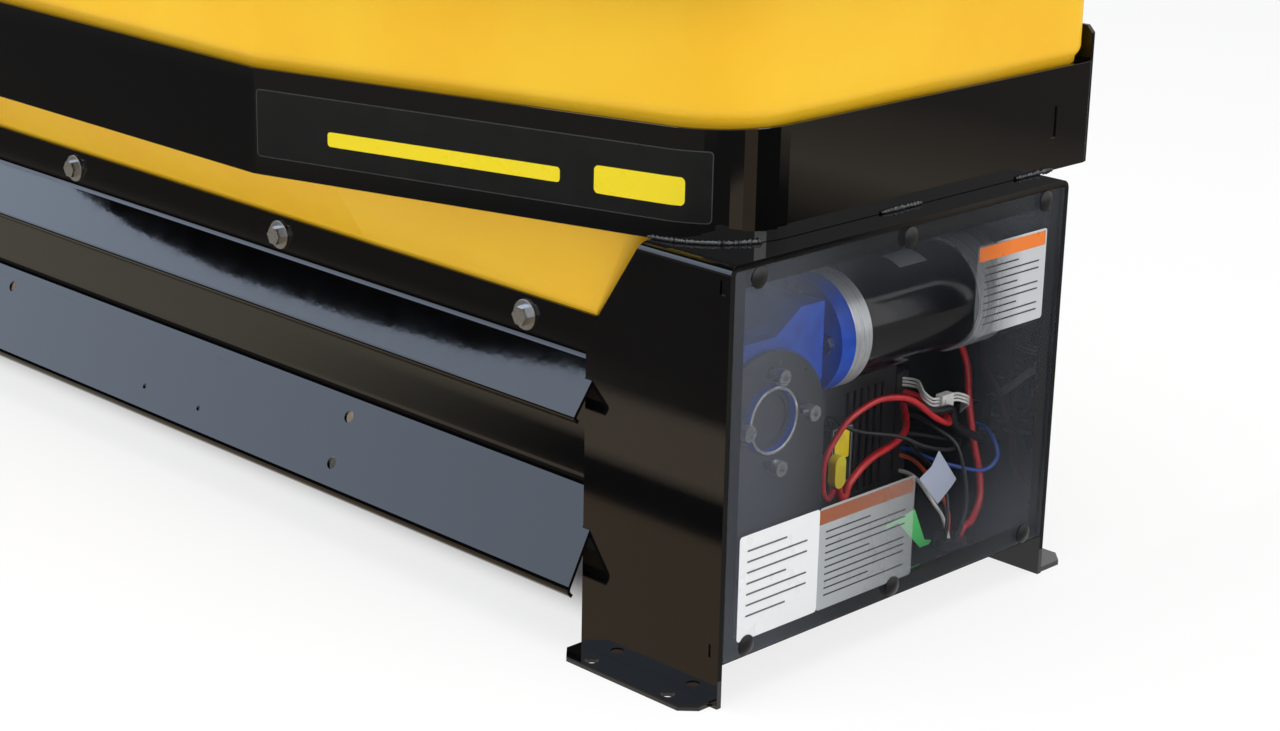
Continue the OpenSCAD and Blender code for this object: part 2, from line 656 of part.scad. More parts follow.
// A strip of pipe wall under the auger's axis, from radius r0 to r1, spanning a degrees each side
module arc_band(r0, r1, a, x0, x1) {
    reach = 2 * r1;
    intersection() {
        difference() {
            rod_x(x0, x1, r1, axis_y, axis_z);
            rod_x(x0 - 1, x1 + 1, r0, axis_y, axis_z);
        }
        along_x(x0 - 1, x1 + 1) translate([axis_y, axis_z])
            polygon([[0, 0], reach * [-sin(a), -cos(a)], reach * [sin(a), -cos(a)]]);
    }
}
module gate_sheet() { arc_band(gate_r0, gate_r1, gate_angle, gate_x0, gate_x1); }
// The gate's front and rear edges, full length
module gate_rails() color("#8d9197") placed() difference() {
    gate_sheet();
    slot_row(gate_x0 - 1, gate_x1 + 1);
}
// The gate between its slots: slid half a pitch, these close the trough's slots
module gate_bridges() color("#8d9197") placed() intersection() {
    gate_sheet();
    between_slots(gate_x0, gate_x1);
}
module gate_hangers() color("#17181a") placed() for (x = hanger_x) {
    r = gate_r1 + gate_gap;
    a = gate_angle + 4;
    arc_band(r, r + 3, a + 8, x - hanger_w / 2, x + hanger_w / 2);
    difference() {
        arc_band(wall_y, r, a + 8, x - hanger_w / 2, x + hanger_w / 2);
        arc_band(wall_y - 2, r + 1, a, x - hanger_w, x + hanger_w);
    }
}
module gate_handle() color("#8d9197") placed() {
    x = -x_out + gate_travel + handle_gap;
    half = handle_w / 2;
    box([x, axis_y - half, handle_z0], [gate_x0 + handle_overlap, axis_y + half, handle_z1]);
    box([x, axis_y - grip_half, handle_z0 - grip_rise],
        [x + grip_t, axis_y + grip_half, handle_z1 + grip_rise]);
}

// ---- auger ----
journal_r = journal_d / 2;
shaft_x = x_leg - 14;
flight_x = x_leg - 22;
module auger_shaft() color("#a5a8ac") placed() {
    rod_x(-shaft_x, shaft_x, shaft_d / 2, axis_y, axis_z);
    rod_x(shaft_x, gear_x1, journal_r, axis_y, axis_z);
    rod_x(-x_leg - wall_t - 34, -shaft_x, journal_r, axis_y, axis_z);
}
// One hand of flighting from x0 to x1, as a strip wound round the tube
module flighting(x0, x1) {
    steps = ceil((x1 - x0) / auger_pitch * 20);
    r0 = shaft_d / 2 / cos(9) + 0.05;
    points = [for (i = [0:steps]) let (x = x0 + (x1 - x0) * i / steps, a = 360 * (x - x0) / auger_pitch)
        each [for (c = [[r0, -1], [auger_r, -1], [auger_r, 1], [r0, 1]])
            [x + c[1] * flight_t / 2, axis_y + c[0] * cos(a), axis_z + c[0] * sin(a)]]];
    faces = concat([for (i = [0:steps - 1]) each band_faces(4, i, i + 1)],
        [[3, 2, 1, 0]], [[4 * steps, 4 * steps + 1, 4 * steps + 2, 4 * steps + 3]]);
    polyhedron(points, faces, convexity = 20);
}
module auger_flighting() color("#8b8f94") placed() both_ends() flighting(8, flight_x);
module shaft_seals() color("#1c1c1c") placed() both_ends() difference() {
    union() {
        rod_x(x_leg - seal_flange_t, x_leg, seal_flange_r, axis_y, axis_z);
        rod_x(x_leg - 1, x_leg + wall_t + 2, seal_r, axis_y, axis_z);
    }
    rod_x(x_leg - 10, x_leg + wall_t + 10, journal_r + 0.1, axis_y, axis_z);
}

// ---- idler bearing, drawn at the +X side and mirrored to the idler end ----
bearing_bolt = 10;
bearing_hole = (bearing_side / 2 - 12.5) * sqrt(2);
bearing_x = x_leg + wall_t;
flange_t = 13;
boss_r = 33;
insert_r = 20;
module rounded_square(side, r) {
    h = side / 2 - r;
    offset(r) square(2 * h, center = true);
}
module at_bearing_bolts() {
    for (a = [45:90:315]) translate([0, bearing_hole * cos(a), bearing_hole * sin(a)]) children();
}
module idler_bearing_housing() color("#3f4347") placed() mirror([1, 0, 0]) difference() {
    union() {
        along_x(bearing_x, bearing_x + flange_t) translate([axis_y, axis_z]) rounded_square(bearing_side, 14);
        rod_x(bearing_x, bearing_x + 26, boss_r, axis_y, axis_z);
    }
    rod_x(bearing_x - 1, bearing_x + 30, insert_r + 0.05, axis_y, axis_z);
    at_bearing_bolts() rod_x(bearing_x - 1, bearing_x + 20, bearing_bolt / 2 + 0.5, axis_y, axis_z);
    rod_z(axis_z + boss_r - 8, axis_z + boss_r + 5, 3.2, bearing_x + 20, axis_y);
}
module idler_bearing_insert() color("#b4b8bc") placed() mirror([1, 0, 0]) difference() {
    union() {
        rod_x(bearing_x + 3, bearing_x + 26, insert_r, axis_y, axis_z);
        rod_x(bearing_x + 26, bearing_x + 33, journal_r + 5, axis_y, axis_z);
    }
    rod_x(bearing_x, bearing_x + 40, journal_r + 0.02, axis_y, axis_z);
}
module idler_bearing_bolts() color("#c9ccd0") placed() mirror([1, 0, 0]) at_bearing_bolts() {
    hex_x(bearing_x + flange_t, bearing_x + flange_t + 7, 16, axis_y, axis_z);
    rod_x(x_leg - 8, bearing_x + flange_t, bearing_bolt / 2, axis_y, axis_z);
    hex_x(x_leg - 8, x_leg, 16, axis_y, axis_z);
}
module grease_fitting() color("#c9a25a") placed() mirror([1, 0, 0]) {
    rod_z(axis_z + boss_r - 8, axis_z + boss_r + 4, 3, bearing_x + 20, axis_y);
    hex_z(axis_z + boss_r + 1, axis_z + boss_r + 5, 9, bearing_x + 20, axis_y);
    rod_z(axis_z + boss_r + 5, axis_z + boss_r + 11, 2.2, bearing_x + 20, axis_y);
    translate([bearing_x + 20, axis_y, axis_z + boss_r + 11]) sphere(r = 3);
}

// ---- worm gearbox ----
hub_r = 20;
wheel_r = centre_rise - 10;
worm_r = centre_rise - wheel_r - clear;
cover_plate = 6;
front_wall = 12;
neck_r = 27;
case_r = 50;
out_boss_r = 28;
case_y0 = axis_y - case_r + 12;
case_y1 = axis_y + case_r + 17;
flange_l = 17;
module gearbox_housing() color("#1d4fc4") placed() difference() {
    union() {
        rod_x(gear_x0 + cover_plate, gear_x1, case_r, axis_y, axis_z);
        along_x(gear_x0 + cover_plate, gear_x1) polygon([[case_y0, axis_z - 30], [case_y0, motor_z + 21],
            [axis_y + 10, motor_z + 21], [axis_y + 39, motor_z + 40], [case_y1, motor_z + 40],
            [case_y1, motor_z - 24], [axis_y + case_r - 6, axis_z - 20]]);
        rod_y(case_y1 - 5, motor_y - flange_l + 1, neck_r, motor_x, motor_z);
        rod_y(motor_y - flange_l, motor_y, bell_r, motor_x, motor_z);
        rod_x(gear_x1 - 1, gear_x1 + 10, out_boss_r, axis_y, axis_z);
    }
    rod_x(gear_x0, gear_x1 - front_wall, wheel_r + 3, axis_y, axis_z);
    rod_x(gear_x0, gear_x1 + 20, hub_r + 0.05, axis_y, axis_z);
    rod_x(gear_x1 + 2, gear_x1 + 20, out_boss_r - 3, axis_y, axis_z);
    rod_y(axis_y - case_r + 18, motor_y + 1, 14, motor_x, motor_z);
    at_plate_screws() rod_x(gear_x1 - 10, gear_x1 + 1, 4, axis_y, axis_z);
    at_flange_bolts() rod_y(motor_y - flange_l - 1, motor_y + 1, 4.2, motor_x, motor_z);
}
module gearbox_rear_cover() color("#1d4fc4") placed() difference() {
    rod_x(gear_x0, gear_x0 + cover_plate, case_r - 4, axis_y, axis_z);
    rod_x(gear_x0 - 1, gear_x0 + cover_plate + 1, hub_r + 0.05, axis_y, axis_z);
}
module worm_wheel() color("#c79a4b") placed() difference() {
    union() {
        rod_x(motor_x - 13, motor_x + 13, wheel_r, axis_y, axis_z);
        rod_x(gear_x0 - 3, gear_x1 + 1, hub_r, axis_y, axis_z);
    }
    rod_x(gear_x0 - 5, gear_x1 + 5, journal_r + 0.02, axis_y, axis_z);
    for (i = [0:wheel_teeth - 1]) rotate_about_auger(360 * i / wheel_teeth)
        rod_x(motor_x - 14, motor_x + 14, 1.7, axis_y, axis_z + wheel_r);
}
module rotate_about_auger(a) {
    translate([0, axis_y, axis_z]) rotate([a, 0, 0]) translate([0, -axis_y, -axis_z]) children();
}
worm_y0 = axis_y - case_r + 20;
worm_half = 18;
armature_gap = 40;
commutator_l = 24;
commutator_r = 15;
armature_room = 63;
armature_end = motor_end - armature_room;
module worm_and_armature() color("#9aa0a6") placed() {
    rod_y(worm_y0, motor_end - 12, 8, motor_x, motor_z);
    rod_y(axis_y - worm_half, axis_y + worm_half, worm_r, motor_x, motor_z);
    rod_y(motor_y + armature_gap, armature_end, motor_r - 16, motor_x, motor_z);
    rod_y(armature_end + 6, armature_end + commutator_l, commutator_r, motor_x, motor_z);
}
module worm_bearings() color("#b4b8bc") placed() for (y = [worm_y0 + 1, motor_y - 26]) difference() {
    rod_y(y, y + 9, 13.95, motor_x, motor_z);
    rod_y(y - 1, y + 10, 8.05, motor_x, motor_z);
}
module output_cap() color("#26282b") placed() difference() {
    rod_x(gear_x1 + 2, gear_x1 + 5, out_boss_r - 3, axis_y, axis_z);
    rod_x(gear_x1 + 4, gear_x1 + 6, out_boss_r - 8, axis_y, axis_z);
}

// ---- reaction plate: arched, standing on a foot on the box's floor ----
plate_x0 = gear_x1;
plate_x1 = plate_x0 + arch_t;
arch_z = axis_z - 12;
reaction_foot = 28;
reaction_bolt = 8;
reaction_pitch = 80;
module at_plate_screws() {
    for (a = [0:90:270]) translate([0, screw_pcd / 2 * cos(a), screw_pcd / 2 * sin(a)]) children();
}
module reaction_plate() color("#3a3c3f") placed() difference() {
    union() {
        rod_x(plate_x0, plate_x1, arch_r, axis_y, arch_z);
        box([plate_x0, axis_y - arch_r, floor_top], [plate_x1, axis_y + arch_r, arch_z]);
        box([plate_x0 - reaction_foot, axis_y - arch_r, floor_top],
            [plate_x0 + 1, axis_y + arch_r, floor_top + arch_t]);
    }
    rod_x(plate_x0 - 1, plate_x1 + 1, out_boss_r + clear, axis_y, axis_z);
    at_plate_screws() rod_x(plate_x0 - 1, plate_x1 + 1, 4.5, axis_y, axis_z);
    at_reaction_bolts() rod_z(floor_top - 1, floor_top + arch_t + 1, reaction_bolt / 2 + 0.5, 0, 0);
}
module at_reaction_bolts() {
    for (s = [-1, 1]) translate([plate_x0 - reaction_foot / 2, axis_y + s * reaction_pitch / 2, 0]) children();
}
// Four cap screws into the gearbox, and the two bolts of the plate's foot
module reaction_plate_fixings() color("#d4d7da") placed() {
    at_plate_screws() difference() {
        union() {
            rod_x(gear_x1 - 9, plate_x1 + 9, 3.95, axis_y, axis_z);
            rod_x(plate_x1 + 8, plate_x1 + 16, 6.5, axis_y, axis_z);
        }
        hex_x(plate_x1 + 12, plate_x1 + 17, 6, axis_y, axis_z);
    }
    at_reaction_bolts() {
        hex_z(floor_top + arch_t, floor_top + arch_t + 5.3, 13, 0, 0);
        rod_z(floor_z - 6, floor_top + arch_t, reaction_bolt / 2, 0, 0);
        hex_z(floor_z - 6, floor_z, 13, 0, 0);
    }
}

// ---- motor ----
bell_l = 21;
rear_bell_l = 44;
module at_flange_bolts() {
    for (a = [0:90:270]) translate([35 * cos(a), 0, 35 * sin(a)]) children();
}
module motor_can() color("#101113") placed() difference() {
    rod_y(motor_y + bell_l, motor_end - rear_bell_l, motor_r, motor_x, motor_z);
    rod_y(motor_y + bell_l - 1, motor_end - rear_bell_l + 1, motor_r - 4, motor_x, motor_z);
}
module motor_front_bell() color("#c3c6ca") placed() difference() {
    rod_y(motor_y, motor_y + bell_l, bell_r, motor_x, motor_z);
    rod_y(motor_y + 8, motor_y + bell_l + 1, motor_r - 4, motor_x, motor_z);
    rod_y(motor_y - 1, motor_y + bell_l, 8.1, motor_x, motor_z);
    at_flange_bolts() rod_y(motor_y - 1, motor_y + 9, 4, motor_x, motor_z);
}
module motor_rear_bell() color("#c3c6ca") placed() difference() {
    rod_y(motor_end - rear_bell_l, motor_end, bell_r, motor_x, motor_z);
    rod_y(motor_end - rear_bell_l - 1, motor_end - 18, motor_r - 4, motor_x, motor_z);
    rod_y(motor_end - 19, motor_end - 11, 8.1, motor_x, motor_z);
}
module motor_flange_bolts() color("#c9ccd0") placed() at_flange_bolts() {
    hex_y(motor_y - flange_l - 5.3, motor_y - flange_l, 13, motor_x, motor_z);
    rod_y(motor_y - flange_l, motor_y + 8, 3.95, motor_x, motor_z);
}

// ---- clear cover and its push rivets ----
module at_rivets() {
    for (y = rivet_y, z = [cover_z0 + rivet_edge, cover_z1 - rivet_edge]) translate([0, y, z]) children();
}
module clear_cover() color("#8f9aa566") placed() difference() {
    y0 = cover_gap;
    y1 = box_d - cover_gap;
    r = cover_corner;
    along_x(x_out - cover_t, x_out) polygon(concat([[y0, cover_z0]],
        arc([y0 + r, cover_z1 - r], r, 180, 90), arc([y1 - r, cover_z1 - r], r, 90, 0), [[y1, cover_z0]]));
    at_rivets() rod_x(x_out - cover_t - 1, x_out + 1, rivet_shank / 2 + clear, 0, 0);
}
module cover_rivets() color("#141517") placed() at_rivets() {
    // Outline of half a rivet: shank, then a low domed head
    rise = rivet_rise;
    half = rivet_head / 2;
    ball = (half * half + (rise - 0.8) * (rise - 0.8)) / 2 / (rise - 0.8);
    edge = asin(half / ball);
    shank = rivet_shank / 2;
    tip = -cover_t - lip_t - 5;
    translate([x_out, 0, 0]) rotate([0, 90, 0]) rotate_extrude() polygon(concat(
        [[0, tip], [shank - 1, tip], [shank, tip + 2], [shank, 0], [half, 0]],
        arc([0, rise - ball], ball, 90 - edge, 90, 5)));
}

// ---- control electrics in the drive box, measured back from the frame's outer face ----
module from_out(a, b) { box([x_out + a[0], a[1], a[2]], [x_out + b[0], b[1], b[2]]); }
// Laid out in a box this deep, over a floor this high, with the motor's underside this far above it
layout_d = 402.4;
layout_floor = 37;
layout_h = 159;
// They keep to the box's back, and spread between its floor and the motor
function back_y(y) = y + box_d - layout_d;
function high_z(z) = floor_top + (z - layout_floor) * (motor_z - bell_r - floor_top) / layout_h;
module_x = -98;
module_y = [back_y(205), back_y(314)];
module_z = [high_z(72), motor_z - bell_r - 8];
groove_y = back_y(250);
groove_w = 3;
groove_pitch = 9;
strip_x = -97;
strip_w = 16;
module control_module() color("#141416") placed() difference() {
    box([x_leg + wall_t, module_y[0], module_z[0]], [x_out + module_x, module_y[1], module_z[1]]);
    // Cooling grooves over the right half of its face
    for (i = [0:5]) translate([0, groove_y + i * groove_pitch, 0])
        from_out([module_x - 5, 0, module_z[0] + 12], [module_x + 1, groove_w, module_z[1] - 12]);
}
module terminal_strip() color("#1b1b1e") placed() difference() {
    z0 = high_z(80);
    from_out([strip_x - 23, module_y[1], z0], [strip_x, module_y[1] + strip_w, module_z[1] - 8]);
    for (z = [z0 + 4:9:module_z[1] - 14])
        from_out([strip_x - 16, module_y[1] + strip_w - 4, z],
            [strip_x - 7, module_y[1] + strip_w + 1, z + 5]);
}
relay_y = [back_y(208), back_y(237)];
relay_h = 54;
relay_t = 20;
module relay_block() color("#26272a") placed() {
    z = high_z(158);
    from_out([module_x, relay_y[0], z - relay_h], [module_x + relay_t, relay_y[1], z]);
    from_out([module_x + relay_t - 1, relay_y[0] + 3, z - relay_h / 2],
        [module_x + relay_t + 2, relay_y[1] - 3, z - 2]);
}
fuse_y = back_y(194);
fuse_z = high_z(131);
module inline_fuse() color("#d8c81e") placed() translate([x_out - 62, 0, 0]) {
    for (s = [-1, 1]) rod_x(0, 8, 6.5, fuse_y, fuse_z + 7.5 * s);
    box([0, fuse_y - 6.5, fuse_z - 7.5], [8, fuse_y + 6.5, fuse_z + 7.5]);
}
module inline_connector() color("#e4e5e2") placed() translate([0, back_y(334), high_z(161)]) {
    from_out([-64, -8, -6], [-56, 8, 6]);
    from_out([-65.5, -5, -3], [-54.5, -1, 3]);
}
plug_l = 14.4;
module sensor_plug() color("#161618") placed() translate([0, 0, high_z(127)])
    from_out([-90, box_d - plug_l, -15], [-72, box_d, 15]);
inlet_x = -37;
inlet_y = back_y(323);
inlet_top = 8;
module harness_inlet() color("#1c1c1f") placed() difference() {
    union() {
        rod_z(floor_top, floor_top + inlet_top, gland_r + 3, x_out + inlet_x, inlet_y);
        rod_z(floor_z - 14, floor_top + 1, gland_r, x_out + inlet_x, inlet_y);
        rod_z(floor_z - 4, floor_z, gland_r + 3, x_out + inlet_x, inlet_y);
    }
    rod_z(floor_z - 15, floor_z - 3, gland_r - 2.5, x_out + inlet_x, inlet_y);
}

// ---- wires: routes chosen by hand, x back from the frame's outer face ----
motor_lead = [[-88, 386, 197], [-84, 392, 178], [-78, 389, 162], [-72, 383, 149], [-60, 378, 114],
    [-52, 378, 89], [-45, 372, 66], [-38, 352, 52], [-34, 338, 52], [-34, 331, 44]];
fuse_lead = [[-58, 191, 116.5], [-60, 187, 108], [-61, 181, 115], [-61, 181, 140], [-60, 190, 156],
    [-58, 207, 173], [-55, 235, 183], [-50, 257, 183], [-46, 276, 176], [-42, 299, 158],
    [-43, 319, 148], [-56, 331, 149], [-80, 332, 157], [-98, 325, 161]];
feed_lead = [[-58, 197, 116.5], [-58, 200, 107], [-59, 207, 106], [-60, 214, 116], [-62, 240, 129],
    [-66, 277, 134], [-74, 300, 138], [-86, 314, 146], [-98, 324, 151]];
relay_lead = [[-88, 218, 157], [-84, 210, 168], [-68, 208, 166], [-60, 223, 158], [-50, 263, 147],
    [-45, 291, 133], [-45, 326, 122], [-55, 352, 121], [-72, 350, 119], [-86, 336, 122],
    [-98, 324, 124]];
ground_lead = [[-98, 325, 140], [-85, 328, 141], [-65, 324, 139], [-45, 332, 127], [-36, 335, 104],
    [-30, 334, 78], [-29, 328, 58], [-30, 322, 44]];
signal_lead = [[-98, 324, 117], [-88, 326, 116], [-70, 317, 112], [-52, 316, 104], [-41, 320, 83],
    [-35, 315, 62], [-35, 313, 44]];
blue_lead = [[-98, 324, 110], [-86, 327, 110], [-72, 323, 110], [-55, 333, 105], [-42, 359, 96],
    [-38, 374, 96], [-37, 383, 105], [-44, 386, 117], [-57, 390, 124], [-71.8, 392, 124]];
orange_lead = [[-98, 324, 103], [-84, 324, 103], [-62, 315, 100], [-48, 319, 84], [-43, 326, 66],
    [-42, 326, 44]];
white_lead = [[-98, 324, 89], [-84, 322, 90], [-66, 314, 89], [-50, 314, 75], [-44, 320, 62],
    [-37, 321, 44]];
sensor_in = [[-98, 322, 171], [-84, 326, 171], [-70, 317, 167], [-62, 319, 162], [-60, 327, 161]];
sensor_out = [[-60, 341, 161], [-60, 352, 160], [-64, 372, 151], [-75, 380, 142],
    [-82, 385.8, 136]];

// A smooth path through the points, with n steps between neighbours
function smooth(p, n = 3) = concat([for (i = [0:len(p) - 2]) each [for (k = [0:n - 1])
    let (s = k / n, a = p[max(i - 1, 0)], b = p[i], c = p[i + 1], d = p[min(i + 2, len(p) - 1)])
    (2 * b + (c - a) * s + (2 * a - 5 * b + 4 * c - d) * s * s + (3 * b - a - 3 * c + d) * s * s * s) / 2]],
    [p[len(p) - 1]]);
// A round wire of radius r, with eight sides, along a smooth path
module wire(route, r) {
    p = smooth([for (q = route) [q[0], back_y(q[1]), high_z(q[2])]]);
    n = len(p);
    t = [for (i = [0:n - 1]) unit(p[min(i + 1, n - 1)] - p[max(i - 1, 0)])];
    first = unit(cross(t[0], abs(t[0][2]) < 0.8 ? [0, 0, 1] : [0, 1, 0]));
    u = [for (i = 0, v = first; i < n; i = i + 1, v = i < n ? unit(v - (v * t[i]) * t[i]) : v) v];
    points = [for (i = [0:n - 1]) each [for (k = [0:7])
        p[i] + r * (cos(45 * k) * u[i] + sin(45 * k) * cross(t[i], u[i]))]];
    faces = concat([for (i = [0:n - 2]) each band_faces(8, i + 1, i)],
        [[for (k = [0:7]) k]], [[for (k = [7:-1:0]) 8 * (n - 1) + k]]);
    translate([x_out, 0, 0]) polyhedron(points, faces, convexity = 10);
}
thick_wire = 3.2;
middle_wire = 2.6;
thin_wire = 1.7;
fine_wire = 1.1;
module red_wires() color("#b5121b") placed() {
    wire(motor_lead, thick_wire);
    wire(fuse_lead, middle_wire);
    wire(feed_lead, thick_wire);
}
module black_wires() color("#1d1d1f") placed() {
    wire(relay_lead, thin_wire);
    wire(ground_lead, thin_wire);
    wire(signal_lead, thin_wire);
}
module blue_wire() color("#1c3f8f") placed() wire(blue_lead, thin_wire);
module orange_wire() color("#e2572b") placed() wire(orange_lead, thin_wire);
// The white lead, and the sensor's three fine leads on both sides of their connector
module white_wires() color("#e8e8e6") placed() {
    wire(white_lead, thin_wire);
    for (dz = [-3, 0, 3]) translate([0, 0, dz]) {
        wire(sensor_in, fine_wire);
        wire(sensor_out, fine_wire);
    }
}

drive_end_frame();
drive_bulkhead();
idler_end_frame();
idler_bulkhead();
front_band();
drive_band();
idler_band();
back_plate();
hopper();
hopper_lid();
lid_handle();
lid_hinges();
hopper_hinges();
hinge_pins();
trough_walls();
trough_bridges();
front_eave();
rear_strip();
front_deflector();
rear_deflector();
hopper_bolts();
hopper_washers();
hopper_nuts();
gate_rails();
gate_bridges();
gate_hangers();
gate_handle();
auger_shaft();
auger_flighting();
shaft_seals();
idler_bearing_housing();
idler_bearing_insert();
idler_bearing_bolts();
grease_fitting();
gearbox_housing();
gearbox_rear_cover();
worm_wheel();
worm_and_armature();
worm_bearings();
output_cap();
reaction_plate();
reaction_plate_fixings();
motor_can();
motor_front_bell();
motor_rear_bell();
motor_flange_bolts();
clear_cover();
cover_rivets();
control_module();
terminal_strip();
relay_block();
inline_fuse();
inline_connector();
sensor_plug();
harness_inlet();
red_wires();
black_wires();
blue_wire();
orange_wire();
white_wires();
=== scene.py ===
import json
import math
import random

import bmesh
import bpy
from mathutils import Matrix, Vector
from mathutils.bvhtree import BVHTree


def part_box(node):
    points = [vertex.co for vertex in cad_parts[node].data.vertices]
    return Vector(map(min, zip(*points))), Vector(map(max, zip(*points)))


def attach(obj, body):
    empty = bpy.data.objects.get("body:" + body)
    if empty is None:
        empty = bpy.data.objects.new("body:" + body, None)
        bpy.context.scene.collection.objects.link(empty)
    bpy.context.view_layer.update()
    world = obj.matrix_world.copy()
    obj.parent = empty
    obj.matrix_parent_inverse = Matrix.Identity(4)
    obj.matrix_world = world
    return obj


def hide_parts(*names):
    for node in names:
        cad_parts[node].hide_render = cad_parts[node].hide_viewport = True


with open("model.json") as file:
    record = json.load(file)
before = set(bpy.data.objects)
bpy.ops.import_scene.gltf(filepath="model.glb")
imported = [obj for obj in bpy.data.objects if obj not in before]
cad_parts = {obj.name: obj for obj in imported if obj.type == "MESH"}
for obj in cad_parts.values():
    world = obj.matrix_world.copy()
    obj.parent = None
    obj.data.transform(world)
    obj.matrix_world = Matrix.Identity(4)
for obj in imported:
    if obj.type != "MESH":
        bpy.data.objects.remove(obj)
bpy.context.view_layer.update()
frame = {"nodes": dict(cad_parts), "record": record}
nodes = frame["nodes"]
MM = 0.001

# The cover's outer face and the inner face of the box's front leg: most places below are measured from these
cover_low, cover_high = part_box("clear_cover")
OUT = cover_high.x
FRONT = cover_low.y - 0.5 * MM
trough_low, trough_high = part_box("trough_walls")
MIDDLE = (trough_low.x + trough_high.x) / 2


def drive(out, y, z):
    """A place in the drive box, in mm: out from the cover's face, behind the front leg, above the floor."""
    return Vector((OUT + out * MM, FRONT + y * MM, z * MM))


# ---------------- camera and image points

PHOTO_W, PHOTO_H = 1280, 731
CAMERA_PLACE = Vector((2.13293, -1.56102, 0.87968))
CAMERA_TURN = 44.72  # degrees, from +Y towards -X
CAMERA_DIP = 17.96  # degrees below level
CAMERA_ROLL = 1.28
CAMERA_LENS = 74.43
SENSOR = 36.0

# Where things show in the photograph's frame of 1280 by 731. The CAD puts the hopper bolts and the band's
# right edge elsewhere than the photograph does, so those four points say where the render has them
image_points = {
    "cover_upper_front": (737, 273),
    "cover_upper_rear": (1064, 187),
    "cover_lower_front": (722, 664),
    "cover_lower_rear": (1041, 536),
    "hopper_bolt_right": (524, 314.5),
    "hopper_bolt_middle": (278, 234.5),
    "hopper_bolt_left": (73, 168),
    "rivet_upper_middle": (910, 237),
    "foot_hole": (667.5, 695),
    "band_right_edge_x": (1095, None),
    "foot_bottom_edge_y": (None, 711),
    "upper_sticker": (1009.5, 284),
    "lower_sticker": (828, 555),
    "band_decal": (486, 157),
    "cable_flag": (938, 479),
    "green_tape": (909, 530),
    "white_tag": (834, 518),
    "weld_front": (705, 243),
    "weld_middle": (905, 210),
    "weld_rear": (1033, 174),
}


def make_camera():
    data = bpy.data.cameras.new("camera")
    data.lens = CAMERA_LENS
    data.sensor_width = SENSOR
    data.sensor_fit = "AUTO"
    camera = bpy.data.objects.new("camera", data)
    bpy.context.scene.collection.objects.link(camera)
    turn = Matrix.Rotation(math.radians(CAMERA_TURN), 3, "Z")
    dip = Matrix.Rotation(math.radians(90 - CAMERA_DIP), 3, "X")
    roll = Matrix.Rotation(math.radians(CAMERA_ROLL), 3, "Z")
    camera.matrix_world = Matrix.Translation(CAMERA_PLACE) @ (turn @ dip @ roll).to_4x4()
    bpy.context.scene.camera = camera
    bpy.context.view_layer.update()
    return camera


camera = make_camera()


def shows_at(place):
    """Where a place shows in the photograph's frame."""
    x, y, z = camera.matrix_world.inverted() @ place
    long_side = max(PHOTO_W, PHOTO_H)
    scale = CAMERA_LENS / SENSOR * long_side / -z
    return PHOTO_W / 2 + x * scale, PHOTO_H / 2 - y * scale


def surface_tree(pieces):
    """One BVHTree of the pieces as they are finished and placed."""
    graph = bpy.context.evaluated_depsgraph_get()
    corners, faces = [], []
    for piece in pieces:
        shown = piece.evaluated_get(graph)
        mesh = shown.to_mesh()
        first = len(corners)
        corners += [piece.matrix_world @ v.co for v in mesh.vertices]
        faces += [[first + i for i in face.vertices] for face in mesh.polygons]
        shown.to_mesh_clear()
    return BVHTree.FromPolygons(corners, faces)


def place_on(point, carriers):
    """The place and the normal where a named image point meets what carries the piece."""
    x, y = image_points[point]
    long_side = max(PHOTO_W, PHOTO_H)
    shift_x, shift_y = camera.data.shift_x, camera.data.shift_y
    ray = Vector((x - PHOTO_W / 2 + shift_x * long_side, PHOTO_H / 2 - y + shift_y * long_side,
                  -long_side * CAMERA_LENS / SENSOR))
    ray = (camera.matrix_world.to_3x3() @ ray).normalized()
    tree = surface_tree(carriers)
    place, normal, _, _ = tree.ray_cast(CAMERA_PLACE, ray)
    if place is None:
        near = [CAMERA_PLACE + ray * (0.01 * step) for step in range(100, 400)]
        place, normal, _, _ = min((tree.find_nearest(p) for p in near), key=lambda found: found[3])
    if normal.dot(ray) > 0:
        normal = -normal
    return place, normal


# ---------------- finishes

def linear(hex_colour):
    """An sRGB hex colour as opaque linear RGBA."""
    parts = [int(hex_colour[i:i + 2], 16) / 255 for i in (1, 3, 5)]
    return [c / 12.92 if c <= 0.04045 else ((c + 0.055) / 1.055) ** 2.4 for c in parts] + [1.0]


def feed(tree, socket, value):
    """Gives an input a plain value, or the socket that feeds it."""
    if isinstance(value, bpy.types.NodeSocket):
        tree.links.new(value, socket)
    else:
        socket.default_value = value


def add(tree, kind, inputs=(), **settings):
    """Adds a node with its settings; inputs are values or the sockets that feed it."""
    new = tree.nodes.new(kind)
    for name, value in settings.items():
        setattr(new, name, value)
    for name, value in dict(inputs).items():
        feed(tree, new.inputs[name], value)
    return new


def maths(tree, operation, a, b):
    """The result of an operation on two values or sockets."""
    return add(tree, "ShaderNodeMath", {0: a, 1: b}, operation=operation).outputs[0]


def part_of(tree, place, axis):
    """One coordinate of a place."""
    return add(tree, "ShaderNodeSeparateXYZ", {"Vector": place}).outputs[axis]


def smooth_rise(tree, value, foot, head, most=1.0):
    """A soft step from 0 at the foot's value to most at the head's."""
    reach = {"Value": value, "From Min": foot, "From Max": head, "To Max": most}
    return add(tree, "ShaderNodeMapRange", reach, interpolation_type="SMOOTHSTEP").outputs["Result"]


def blend(tree, share, first, second):
    """A colour between two others as share goes from 0 to 1."""
    mix = add(tree, "ShaderNodeMix", {"Factor": share}, data_type="RGBA")
    colours = [socket for socket in mix.inputs if socket.type == "RGBA"]
    feed(tree, colours[0], first)
    feed(tree, colours[1], second)
    return next(socket for socket in mix.outputs if socket.type == "RGBA")


